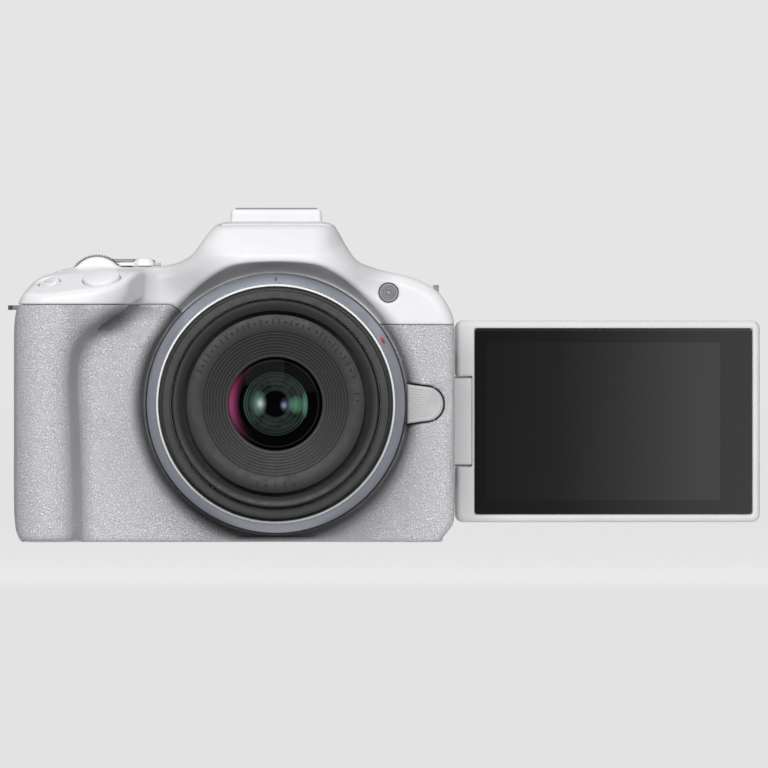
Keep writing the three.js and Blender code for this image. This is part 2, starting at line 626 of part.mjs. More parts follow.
// The panel's pieces are drawn unturned, with u to the right of the swing axis, t to the back and h upwards,
// and the screen's group turns and places them.

const panelOutline = roundedRectangle(PANEL.near, PANEL.far, -PANEL.half, PANEL.half, 2.1);
const notch = block([0, NOTCH.deep], [-10, 10], [-NOTCH.half, NOTCH.half]);
const shaftWay = rod([0, 0, 0], [16, 0, 0], 1.6, 20);

function makeScreenFrame() {
  const whole = facing(panelOutline, -PANEL.t, 1, 0.6);
  const glassPocket = block([7.8, 81.9], [-5, -2.6], [-24.7, 24.7]);
  const modulePocket = block([9.3, 78], [-5, -1.5], [-23.2, 23.2]);
  return cut(whole, notch, glassPocket, modulePocket, shaftWay);
}

function makeScreenBack() {
  const whole = facing(panelOutline, 1.1, PANEL.t, 0.6);
  const hollow = block([18, 80], [0, 2.4], [-24, 24]);
  return cut(whole, notch, hollow, shaftWay);
}

const makeScreenGlass = () => facing(roundedRectangle(7.9, 81.8, -24.6, 24.6, 1, 3), -3.65, -2.7);

const makeDisplay = () => block([9.5, 77.8], [-2.6, -1.6], [-23, 23]);

// The block that joins the two hinges. Its ends are arcs about the tilt axis, so the panel turns past them.
function makeHingeArm() {
  const reach = 11.95;
  const round = rod([-3, 0, 0], [7, 0, 0], reach, 48);
  const body = union(block([0.5, 7], [-3.1, 3.1], [-13, 13]), rod([0, 0, -13], [0, 0, 13], 2.6, 24));
  const bores = union(rod([0, 0, -20], [0, 0, 20], 1.35, 20), rod([2.9, 0, 0], [8, 0, 0], 1.55, 20));
  return cut(body.intersect(round), bores);
}

const makeTiltShaft = () => rod([3.1, 0, 0], [15.5, 0, 0], 1.45, 20);

// Two knuckles on a plate let into the floor of the screen pocket.
function makeHingeBracket() {
  const { x0, x1, y0, y1, z0, z1 } = BRACKET;
  const knuckle = (a, b) => {
    const web = block([x0 + 0.2, x1], [y1 - 0.2, HINGE.y], [a, b]);
    return web.add(rod([HINGE.x, HINGE.y, a], [HINGE.x, HINGE.y, b], 2.35));
  };
  const made = union(block([x0, x1], [y0, y1], [z0, z1]), knuckle(z0, 19.4), knuckle(44.2, z1));
  return made.subtract(rod([HINGE.x, HINGE.y, 0], [HINGE.x, HINGE.y, 80], 1.35, 20));
}

const makeSwingPin = () => rod([HINGE.x, HINGE.y, 14.3], [HINGE.x, HINGE.y, 49.3], 1.25, 20);

// ---------------------------------------------------------------- the assembly

const camera = new THREE.Group();

function add(parent, name, solid, material) {
  const mesh = new THREE.Mesh(toGeometry(solid), material);
  mesh.name = name;
  parent.add(mesh);
}

const parts = [
  ["front_cover", makeFrontCover(), PAINT.texture],
  ["top_cover", makeTopCover(), PAINT.white],
  ["rear_cover", makeRearCover(), PAINT.satin],
  ["base_plate", makeBasePlate(), PAINT.satin],
  ["battery_door", makeBatteryDoor(), PAINT.satin],
  ["battery_door_latch", makeDoorLatch(), PAINT.satin],
  ["mic_door", makeMicDoor(), PAINT.rubber],
  ["port_door", makePortDoor(), PAINT.rubber],
  ["strap_lug_grip", makeGripStrapLug(), PAINT.steel],
  ["strap_lug_hinge", makeHingeStrapLug(), PAINT.steel],
  ["tripod_socket", makeTripodSocket(), PAINT.steel],
  ["hot_shoe", makeHotShoe(), PAINT.steel],
  ["shoe_contacts", makeShoeContacts(), PAINT.black],
  ["af_lamp", makeLamp(), PAINT.glass],
  ["flash_head", makeFlashHead(), PAINT.white],
  ["flash_window", makeFlashWindow(), PAINT.glass],
  ["shutter_button", makeButton(SHUTTER), PAINT.white],
  ["function_button", makeButton(FUNCTION), PAINT.white],
  ["movie_button", makeButton(MOVIE), PAINT.white],
  ["iso_button", makeButton(SPEED), PAINT.white],
  ["main_dial", makeMainDial(), PAINT.silver],
  ["mode_dial", makeModeDial(), PAINT.silver],
  ["power_lever", makePowerLever(), PAINT.white],
  ["cross_pad", makeCrossPad(), PAINT.satin],
  ["set_button", makeButton(SET), PAINT.satin],
  ["info_button", makeButton(INFO), PAINT.satin],
  ["menu_button", makeButton(MENU), PAINT.satin],
  ["playback_button", makeButton(PLAY), PAINT.satin],
  ["ae_lock_button", makeButton(LOCK), PAINT.satin],
  ["af_point_button", makeButton(POINT), PAINT.satin],
  ["lens_release_button", makeRelease(), PAINT.satin],
  ["lens_lock_pin", makeLockPin(), PAINT.steel],
  ["diopter_dial", makeDiopterDial(), PAINT.black],
  ["eyecup", makeEyecup(), PAINT.rubber],
  ["eyepiece_lens", makeEyepieceLens(), PAINT.glass],
  ["viewfinder_unit", makeViewfinderUnit(), PAINT.black],
  ["mount_ring", makeMountRing(), PAINT.steel],
  ["mount_frame", makeMountFrame(), PAINT.black],
  ["shutter_unit", makeShutterUnit(), PAINT.black],
  ["shutter_curtain", makeShutterCurtain(), PAINT.black],
  ["sensor_module", makeSensorModule(), PAINT.board],
  ["main_board", makeMainBoard(), PAINT.board],
  ["battery_box", makeBatteryBox(), PAINT.black],
  ["battery", makeBattery(), PAINT.black],
  ["memory_card", makeMemoryCard(), PAINT.black],
  ["lens_bayonet", makeLensBayonet(), PAINT.steel],
  ["lens_barrel", makeLensBarrel(), PAINT.silver],
  ["zoom_ring", makeZoomRing(), PAINT.silver],
  ["focus_ring", makeFocusRing(), PAINT.black],
  ["inner_barrel", makeInnerBarrel(), PAINT.black],
  ["front_element", makeFrontElement(), PAINT.glass],
  ["iris_unit", makeIrisUnit(), PAINT.black],
  ["hinge_bracket", makeHingeBracket(), PAINT.steel],
  ["swing_pin", makeSwingPin(), PAINT.steel],
];
parts.forEach((part) => add(camera, ...part));

const screen = new THREE.Group();
screen.position.set(HINGE.x, HINGE.y, HINGE.z);
screen.rotation.z = OPEN;
camera.add(screen);
[
  ["hinge_arm", makeHingeArm(), PAINT.satin],
  ["tilt_shaft", makeTiltShaft(), PAINT.steel],
  ["screen_frame", makeScreenFrame(), PAINT.satin],
  ["screen_back", makeScreenBack(), PAINT.satin],
  ["screen_glass", makeScreenGlass(), PAINT.screen],
  ["display_module", makeDisplay(), PAINT.black],
].forEach((part) => add(screen, ...part));

export default camera;
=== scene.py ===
"""A white mirrorless camera with a retractable zoom lens and its screen swung out to face forwards.

Lengths are in millimetres in the camera's own frame (+Z up, -Y towards the subject, origin on the base below the
mount flange) and become metres when a mesh is made.
"""

import math

import bmesh
import bpy
import numpy as np
import openvdb
from mathutils import Matrix, Vector


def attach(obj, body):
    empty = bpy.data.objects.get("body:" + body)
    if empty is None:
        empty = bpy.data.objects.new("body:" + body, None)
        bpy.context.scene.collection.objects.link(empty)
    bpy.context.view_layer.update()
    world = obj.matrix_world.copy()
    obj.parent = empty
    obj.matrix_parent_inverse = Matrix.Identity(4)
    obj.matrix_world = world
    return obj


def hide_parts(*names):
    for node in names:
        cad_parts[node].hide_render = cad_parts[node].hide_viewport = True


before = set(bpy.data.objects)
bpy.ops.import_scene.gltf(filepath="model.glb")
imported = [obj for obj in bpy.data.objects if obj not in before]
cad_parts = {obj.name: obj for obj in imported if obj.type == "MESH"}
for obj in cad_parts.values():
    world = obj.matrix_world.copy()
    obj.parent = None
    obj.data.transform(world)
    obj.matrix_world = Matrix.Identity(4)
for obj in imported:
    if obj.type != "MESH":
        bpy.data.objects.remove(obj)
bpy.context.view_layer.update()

MM = 0.001

# ---------------------------------------------------------------- driving dimensions

LEFT, RIGHT = -69.2, 47.1
FRONT, BACK = -4.0, 37.5
GRIP_FRONT = -18.8
DECK = 72.6
HUMP_TOP = 85.3
BROW = -9.0
PARTING = 22.0
SEAM_GRIP = 62.7
SEAM_HINGE = 57.4
AXIS_Z = 36.5
WALL = 1.6
GAP = 0.07  # half the width of a seam between covers
BUTTON_GAP = 0.18
RELEASE_GAP = 0.42

DIAL = {"x": -47.2, "y0": 0.6, "y1": 6.0, "z": 68.2, "r": 7.75}
MODE = {"x": -40.0, "y": 20.0, "z0": 72.9, "z1": 75.0, "r": 7.95}
FLASH = {"half": 14.6, "y0": -3.2, "y1": 9.6, "z0": 79.6}
SHOE = {"half": 10.8, "y0": 13.2, "y1": 32.0, "z0": 85.6}
LAMP = {"x": 29.7, "z": 65.8, "r": 2.4}
POCKET = {"x0": -40.2, "y": 30.8, "z0": 4.4, "z1": 59.2}
HINGE = (44.4, 35.0, 31.8)
OPEN = math.radians(5)

# ---------------------------------------------------------------- meshes


def new_object(name, points, faces, material, body, smooth=True):
    """A piece from points in millimetres, riding on a body of the frame."""
    mesh = bpy.data.meshes.new(name)
    scaled = [(x * MM, y * MM, z * MM) for x, y, z in points]
    mesh.from_pydata(scaled, [], faces)
    mesh.validate()
    return finish_mesh(name, mesh, material, body, smooth)


def finish_mesh(name, mesh, material, body, smooth=True):
    mesh.polygons.foreach_set("use_smooth", [smooth] * len(mesh.polygons))
    mesh.materials.append(material)
    obj = bpy.data.objects.new(name, mesh)
    bpy.context.scene.collection.objects.link(obj)
    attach(obj, body)
    return obj


def outward(obj):
    """Turns every face of a closed mesh outwards."""
    bm = bmesh.new()
    bm.from_mesh(obj.data)
    bmesh.ops.recalc_face_normals(bm, faces=bm.faces)
    bm.to_mesh(obj.data)
    bm.free()
    return obj


def sharpen(obj, degrees=32):
    """Smooth shading that breaks at edges sharper than the angle."""
    obj.data.set_sharp_from_angle(angle=math.radians(degrees))
    return obj


def loops_to_faces(rings, count, close_ends=True, cyclic=False):
    """Faces that join rings of equal size in turn."""
    faces = []
    last = rings if cyclic else rings - 1
    for k in range(last):
        a, b = k * count, ((k + 1) % rings) * count
        for i in range(count):
            j = (i + 1) % count
            faces.append((a + i, a + j, b + j, b + i))
    if close_ends and not cyclic:
        faces.append(tuple(range(count)))
        faces.append(tuple((rings - 1) * count + i for i in range(count)))
    return faces


def lathe(name, profile, material, body, segments=128, ripple=None, closed=True):
    """[radius, y] pairs turned about the lens axis. ripple(angle, radius, y) gives a change of radius."""
    points = []
    for r, y in profile:
        for i in range(segments):
            a = 2 * math.pi * i / segments
            rr = r + (ripple(a, r, y) if ripple else 0)
            points.append((rr * math.cos(a), y, AXIS_Z + rr * math.sin(a)))
    faces = loops_to_faces(len(profile), segments, cyclic=closed)
    return sharpen(outward(new_object(name, points, faces, material, body)))


def basis(axis):
    """Two directions square to an axis."""
    n = Vector(axis).normalized()
    helper = Vector((0, 0, 1)) if abs(n.z) < 0.9 else Vector((0, 1, 0))
    u = helper.cross(n).normalized()
    return u, n.cross(u), n


def knob(name, at, axis, profile, material, body, segments=64, ripple=None):
    """[radius, height] pairs turned about an axis through a point. The profile starts and ends near the axis."""
    u, v, n = basis(axis)
    centre = Vector(at)
    points = []
    for r, h in profile:
        for i in range(segments):
            a = 2 * math.pi * i / segments
            rr = r + (ripple(i, r, h) if ripple else 0)
            points.append(tuple(centre + u * (rr * math.cos(a)) + v * (rr * math.sin(a)) + n * h))
    faces = loops_to_faces(len(profile), segments)
    return sharpen(outward(new_object(name, points, faces, material, body)))


def rounded_loop(x0, x1, z0, z1, r, steps=8):
    points = []
    for cx, cz, start in ((x1 - r, z0 + r, -90), (x1 - r, z1 - r, 0), (x0 + r, z1 - r, 90), (x0 + r, z0 + r, 180)):
        for i in range(steps + 1):
            a = math.radians(start + 90 * i / steps)
            points.append((cx + r * math.cos(a), cz + r * math.sin(a)))
    return points


def tray(name, rect, radius, path, material, body, place=None, cyclic=False, steps=8):
    """A rounded rectangle's outline followed through (inset, depth) pairs. place maps (x, depth, z) to a point."""
    x0, x1, z0, z1 = rect
    points = []
    for inset, depth in path:
        loop = rounded_loop(x0 + inset, x1 - inset, z0 + inset, z1 - inset, max(radius - inset, 0.25), steps)
        points += [(x, depth, z) for x, z in loop]
    if place:
        points = [place(p) for p in points]
    count = 4 * (steps + 1)
    faces = loops_to_faces(len(path), count, cyclic=cyclic)
    return sharpen(outward(new_object(name, points, faces, material, body)), 35)


def bevel(obj, width, segments=3, angle=30):
    mod = obj.modifiers.new("edges", "BEVEL")
    mod.width = width * MM
    mod.segments = segments
    mod.limit_method = "ANGLE"
    mod.angle_limit = math.radians(angle)
    mod.harden_normals = True
    return obj


def paint(node, material, bevel_width=0.0):
    """A better finish, and softened edges, for a CAD node that stays."""
    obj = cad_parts[node]
    obj.data.materials.clear()
    obj.data.materials.append(material)
    if bevel_width:
        obj.data.polygons.foreach_set("use_smooth", [True] * len(obj.data.polygons))
        bevel(obj, bevel_width)
    return obj


# ---------------------------------------------------------------- distance fields

# A field is negative inside the solid and grows by one per millimetre outwards, near its surface.


def convex(a, b, r):
    """The solid common to two, its meeting edge rounded to radius r."""
    if np.isscalar(r) and r == 0:
        return np.maximum(a, b)
    return np.minimum(np.maximum(a, b), -r) + np.hypot(np.maximum(a + r, 0), np.maximum(b + r, 0))


def joined(a, b, r):
    """Two solids together, with a fillet of radius r where they meet."""
    if r == 0:
        return np.minimum(a, b)
    return -convex(-a, -b, r)


def without(a, b, r=0):
    return convex(a, -b, r)


def box_field(X, Y, Z, low, high, r):
    qx = np.abs(X - (low[0] + high[0]) / 2) - (high[0] - low[0]) / 2 + r
    qy = np.abs(Y - (low[1] + high[1]) / 2) - (high[1] - low[1]) / 2 + r
    qz = np.abs(Z - (low[2] + high[2]) / 2) - (high[2] - low[2]) / 2 + r
    outside = np.sqrt(np.maximum(qx, 0) ** 2 + np.maximum(qy, 0) ** 2 + np.maximum(qz, 0) ** 2)
    return outside + np.minimum(np.maximum(np.maximum(qx, qy), qz), 0) - r


def rod_field(X, Y, Z, at, axis, r, down, up):
    """A round bar about an axis, from down below its point to up above it."""
    n = Vector(axis).normalized()
    dx, dy, dz = X - at[0], Y - at[1], Z - at[2]
    h = dx * n.x + dy * n.y + dz * n.z
    radial = np.sqrt(np.maximum(dx * dx + dy * dy + dz * dz - h * h, 0)) - r
    return np.maximum(np.maximum(radial, h - up), -down - h)


def spline(points, steps=5):
    """A closed curve through every point."""
    out = []
    n = len(points)
    for i in range(n):
        p = [np.array(points[(i + k) % n], float) for k in (-1, 0, 1, 2)]
        t = [0.0]
        for k in range(3):
            t.append(t[-1] + max(np.linalg.norm(p[k + 1] - p[k]), 1e-6) ** 0.5)
        for s in range(steps):
            x = t[1] + (t[2] - t[1]) * s / steps
            a = [(t[k + 1] - x) / (t[k + 1] - t[k]) * p[k] + (x - t[k]) / (t[k + 1] - t[k]) * p[k + 1] for k in range(3)]
            b = [(t[k + 2] - x) / (t[k + 2] - t[k]) * a[k] + (x - t[k]) / (t[k + 2] - t[k]) * a[k + 1] for k in range(2)]
            out.append((t[2] - x) / (t[2] - t[1]) * b[0] + (x - t[1]) / (t[2] - t[1]) * b[1])
    return np.array(out)


def outline_field(A, B, outline):
    """Distance to a closed outline, over a grid of its two coordinates."""
    A, B = np.broadcast_arrays(A, B)
    nearest = np.full(A.shape, 1e9)
    inside = np.zeros(A.shape, bool)
    for p, q in zip(outline, np.roll(outline, -1, axis=0)):
        ex, ez = q - p
        length = ex * ex + ez * ez
        if length < 1e-12:
            continue
        wx, wz = A - p[0], B - p[1]
        t = np.clip((wx * ex + wz * ez) / length, 0, 1)
        nearest = np.minimum(nearest, (wx - ex * t) ** 2 + (wz - ez * t) ** 2)
        if p[1] != q[1]:
            crosses = (p[1] > B) != (q[1] > B)
            inside ^= crosses & (A < (q[0] - p[0]) * (B - p[1]) / (q[1] - p[1]) + p[0])
    return np.where(inside, -1.0, 1.0) * np.sqrt(nearest)


def soft_curve(at, knots, values, blur):
    """Values between knots, with the corners blurred over a length."""
    fine = np.arange(knots[0] - 3 * blur, knots[-1] + 3 * blur, 0.25)
    raw = np.interp(fine, knots, values)
    width = int(3 * blur / 0.25)
    kernel = np.exp(-0.5 * (np.arange(-width, width + 1) * 0.25 / blur) ** 2)
    padded = np.pad(raw, width, mode="edge")
    smooth = np.convolve(padded, kernel / kernel.sum(), mode="valid")
    return np.interp(at, fine, smooth)


def mesh_field(name, field, low, high, step, material, body, place=None):
    """The surface of a field inside a box, as a piece. place maps an array of points to where they belong."""
    axes = [np.arange(low[k], high[k] + step, step) for k in range(3)]
    X, Y, Z = axes[0][:, None, None], axes[1][None, :, None], axes[2][None, None, :]
    values = np.broadcast_to(field(X, Y, Z), [len(a) for a in axes])
    values = np.clip(values, -3 * step, 3 * step).astype(np.float32)
    grid = openvdb.FloatGrid(3 * step)
    grid.copyFromArray(np.ascontiguousarray(values))
    points, triangles, quads = grid.convertToPolygons(0.0, 0.0)
    points = np.asarray(points, float) * step + np.array(low, float)
    if place:
        points = place(points)
    quads = np.asarray(quads, int)
    mesh = bpy.data.meshes.new(name)
    mesh.vertices.add(len(points))
    mesh.vertices.foreach_set("co", (points * MM).ravel())
    mesh.loops.add(len(quads) * 4)
    mesh.loops.foreach_set("vertex_index", quads[:, ::-1].ravel())
    mesh.polygons.add(len(quads))
    mesh.polygons.foreach_set("loop_start", np.arange(0, len(quads) * 4, 4))
    mesh.update(calc_edges=True)
    bm = bmesh.new()
    bm.from_mesh(mesh)
    if bm.calc_volume(signed=True) < 0:
        bmesh.ops.reverse_faces(bm, faces=bm.faces)
        bm.to_mesh(mesh)
    bm.free()
    obj = finish_mesh(name, mesh, material, body)
    print(name, "faces", len(mesh.polygons), "triangles", len(triangles))
    return obj


# ---------------------------------------------------------------- materials


class Nodes:
    """Short names for building a new material's node tree, or for adding to the tree of one made already."""

    def __init__(self, name, material=None):
        self.material = material or bpy.data.materials.new(name)
        self.material.use_nodes = True
        self.tree = self.material.node_tree
        self.shader = self.tree.nodes["Principled BSDF"]
        coords = self.tree.nodes.new("ShaderNodeTexCoord")
        scale = self.tree.nodes.new("ShaderNodeVectorMath")
        scale.operation = "SCALE"
        scale.inputs["Scale"].default_value = 1 / MM
        self.tree.links.new(coords.outputs["Object"], scale.inputs[0])
        self.mm = scale.outputs[0]  # position in millimetres

    def link(self, source, target):
        self.tree.links.new(source, target)

    def set(self, **values):
        for key, value in values.items():
            self.shader.inputs[key.replace("_", " ")].default_value = value

    def node(self, kind, inputs=None, **attributes):
        made = self.tree.nodes.new("ShaderNode" + kind)
        for key, value in attributes.items():
            setattr(made, key, value)
        for key, value in (inputs or {}).items():
            if isinstance(value, bpy.types.NodeSocket):
                self.link(value, made.inputs[key])
            else:
                made.inputs[key].default_value = value
        return made

    def noise(self, scale, detail=3.0, vector=None, roughness=0.55):
        made = self.node("TexNoise", {"Scale": scale, "Detail": detail, "Roughness": roughness})
        self.link(vector or self.mm, made.inputs["Vector"])
        return made.outputs["Fac"]

    def voronoi(self, scale, feature="F1", vector=None, smooth=0.0):
        made = self.node("TexVoronoi", {"Scale": scale}, feature=feature)
        if "Smoothness" in made.inputs and smooth:
            made.inputs["Smoothness"].default_value = smooth
        self.link(vector or self.mm, made.inputs["Vector"])
        return made.outputs["Distance"]

    def math(self, operation, a, b=0.0, c=0.0):
        return self.node("Math", {0: a, 1: b, 2: c}, operation=operation).outputs[0]

    def spread(self, value, low, high, to_low, to_high):
        made = self.node(
            "MapRange",
            {"Value": value, "From Min": low, "From Max": high, "To Min": to_low, "To Max": to_high},
        )
        return made.outputs["Result"]

    def mix(self, factor, a, b):
        made = self.node("Mix", data_type="RGBA")
        for key, value in (("Factor", factor), ("A", a), ("B", b)):
            sockets = [s for s in made.inputs if s.name == key and s.enabled]
            if isinstance(value, bpy.types.NodeSocket):
                self.link(value, sockets[-1])
            else:
                sockets[-1].default_value = value
        return [s for s in made.outputs if s.enabled][0]

    def bump(self, height, distance, strength=1.0, after=None):
        made = self.node("Bump", {"Height": height, "Distance": distance * MM, "Strength": strength})
        if after:
            self.link(after, made.inputs["Normal"])
        return made.outputs["Normal"]


def grey(value, tint=(1, 1, 1)):
    """A linear colour from a display value out of 255."""
    s = value / 255
    linear = s / 12.92 if s <= 0.04045 else ((s + 0.055) / 1.055) ** 2.4
    return (linear * tint[0], linear * tint[1], linear * tint[2], 1)


def moulded(name, value, tint=(1, 1, 1), roughness=0.42, grain=0.012, coat=0.0, metallic=0.0, vary=0.03):
    """Moulded or painted plastic: slight mottling, uneven gloss and a fine spark-eroded skin."""
    n = Nodes(name)
    base = grey(value, tint)
    darker = tuple(c * (1 - vary * 2) for c in base[:3]) + (1,)
    mottle = n.noise(0.12, 4)
    n.link(n.mix(n.spread(mottle, 0.3, 0.7, 0, 1), darker, base), n.shader.inputs["Base Color"])
    gloss = n.noise(0.5, 3)
    n.link(n.spread(gloss, 0.3, 0.7, roughness - 0.05, roughness + 0.06), n.shader.inputs["Roughness"])
    skin = n.bump(n.noise(5.0, 2), grain, 0.6)
    n.link(n.bump(n.noise(0.25, 2), 0.02, 0.4, skin), n.shader.inputs["Normal"])
    n.set(Coat_Weight=coat, Coat_Roughness=0.18, Metallic=metallic)
    return n.material


def painted_hollow_shade(n):
    """Painted shade for the skin: the factor is lowest where shade falls beside the lens, beside the grip and over it,
    and it also darkens the grip towards its left edge.
    """
    split = n.node("SeparateXYZ", {0: n.mm})
    x, z = split.outputs["X"], split.outputs["Z"]
    dz = n.math("SUBTRACT", z, AXIS_Z)
    r = n.math("SQRT", n.math("ADD", n.math("MULTIPLY", x, x), n.math("MULTIPLY", dz, dz)))
    side = n.spread(x, -20.0, 20.0, 0.5, 0.8)
    ring = n.spread(r, 36.2, 38.6, 0.0, 1.0)
    dish = n.math("ADD", side, n.math("MULTIPLY", ring, n.math("SUBTRACT", 1.0, side)))

    along_x, up_z = n.math("SUBTRACT", x, -42.5), n.math("SUBTRACT", z, 59.0)
    tilt = math.radians(24)
    u = n.math("ADD", n.math("MULTIPLY", along_x, math.cos(tilt)), n.math("MULTIPLY", up_z, math.sin(tilt)))
    v = n.math("SUBTRACT", n.math("MULTIPLY", up_z, math.cos(tilt)), n.math("MULTIPLY", along_x, math.sin(tilt)))
    u, v = n.math("DIVIDE", u, 11.5), n.math("DIVIDE", v, 4.2)
    away = n.math("SQRT", n.math("ADD", n.math("MULTIPLY", u, u), n.math("MULTIPLY", v, v)))
    shelf = n.spread(away, 0.15, 1.0, 0.36, 1.0)

    beside = n.math("ABSOLUTE", n.math("SUBTRACT", x, -52.3))
    valley = n.spread(beside, 0.8, 4.5, 0.8, 1.0)
    edge = n.spread(x, LEFT, LEFT + 7.0, 0.82, 1.0)
    return n.math("MULTIPLY", n.math("MULTIPLY", dish, edge), n.math("MULTIPLY", shelf, valley))


def leathered(name, value, tint=(1, 1, 1)):
    """The pebbled skin of the front: irregular cells with fine creases between them, darkened by painted shade in its
    recesses.
    """
    n = Nodes(name)
    warp = n.node("TexNoise", {"Scale": 0.9, "Detail": 3.0})
    n.link(n.mm, warp.inputs["Vector"])
    shift = n.node("VectorMath", {0: warp.outputs["Color"], 1: (1.1, 1.1, 1.1)}, operation="MULTIPLY")
    bent = n.node("VectorMath", {0: n.mm, 1: shift.outputs[0]}, operation="ADD").outputs[0]
    cells = n.voronoi(1.6, "SMOOTH_F1", bent, 0.35)
    creases = n.voronoi(1.6, "DISTANCE_TO_EDGE", bent)
    fine = n.noise(6.0, 4)
    crease_mask = n.spread(creases, 0.0, 0.12, 0.0, 1.0)
    base = grey(value, tint)
    low = tuple(c * 0.87 for c in base[:3]) + (1,)
    mottled = n.mix(n.spread(n.noise(0.15, 4), 0.3, 0.7, 0, 1), tuple(c * 0.96 for c in base[:3]) + (1,), base)
    skin = n.mix(crease_mask, low, mottled)
    # painted shade: the skin is mixed towards black where its shade factor is low
    n.link(n.mix(painted_hollow_shade(n), (0.0, 0.0, 0.0, 1), skin), n.shader.inputs["Base Color"])
    n.link(n.spread(crease_mask, 0, 1, 0.82, 0.6), n.shader.inputs["Roughness"])
    height = n.math("ADD", n.math("MULTIPLY", crease_mask, 0.7), n.math("MULTIPLY", cells, -0.55))
    coarse = n.bump(height, 0.22, 1.0)
    n.link(n.bump(fine, 0.05, 0.7, coarse), n.shader.inputs["Normal"])
    return n.material


def rubbed_metal(name, value, tint=(1, 1, 1), roughness=0.3, stretch=(1, 1, 1)):
    n = Nodes(name)
    squeezed = n.node("VectorMath", {0: n.mm, 1: stretch}, operation="MULTIPLY").outputs[0]
    streaks = n.noise(3.0, 4, squeezed)
    base = grey(value, tint)
    n.link(n.mix(streaks, tuple(c * 0.75 for c in base[:3]) + (1,), base), n.shader.inputs["Base Color"])
    n.link(n.spread(streaks, 0.3, 0.7, roughness - 0.08, roughness + 0.1), n.shader.inputs["Roughness"])
    n.link(n.bump(streaks, 0.01, 0.3), n.shader.inputs["Normal"])
    n.set(Metallic=1.0)
    return n.material


WHITE = moulded("white_satin", 234, (0.985, 0.98, 1.0), roughness=0.5, coat=0.06)
SKIN = leathered("pale_texture", 212, (1.0, 0.975, 1.03))
SATIN = moulded("pale_satin", 214, (0.99, 0.99, 1.0), roughness=0.45)
BLUE_GREY = moulded("lens_silver", 152, (0.9, 0.98, 1.12), roughness=0.34, coat=0.2, metallic=0.35)
BRIGHT = moulded("bright_ring", 244, (1, 1, 1.02), roughness=0.3, coat=0.3, grain=0.004)
BLACK = moulded("black_matt", 19, (1, 1, 1.02), roughness=0.5, grain=0.02, vary=0.08)
DEEP = moulded("black_deep", 20, (1, 1, 1), roughness=0.75, grain=0.03, vary=0.1)
CHARCOAL = moulded("charcoal", 37, (1, 1, 1.02), roughness=0.5, grain=0.02, vary=0.05)
RUBBER = moulded("black_rubber", 34, (1, 1, 1), roughness=0.85, grain=0.04, vary=0.08)
FLAP = moulded("grey_rubber", 178, (1, 0.99, 1.01), roughness=0.7, grain=0.03)
MARK = moulded("printed_mark", 120, (1, 1, 1.02), roughness=0.6)
DARK_MARK = moulded("dark_mark", 26, (1, 1, 1), roughness=0.6)
RED = moulded("red_mark", 190, (1.0, 0.06, 0.06), roughness=0.4)
STEEL = rubbed_metal("steel", 190, (1, 1, 1), roughness=0.3, stretch=(1, 1, 14))
DARK_STEEL = rubbed_metal("dark_steel", 110, (1, 1, 1), roughness=0.4, stretch=(6, 1, 1))
CAST = rubbed_metal("cast_aluminium", 160, (1, 1, 1), roughness=0.5)
BOARD = moulded("circuit", 90, (0.25, 1.0, 0.5), roughness=0.45)


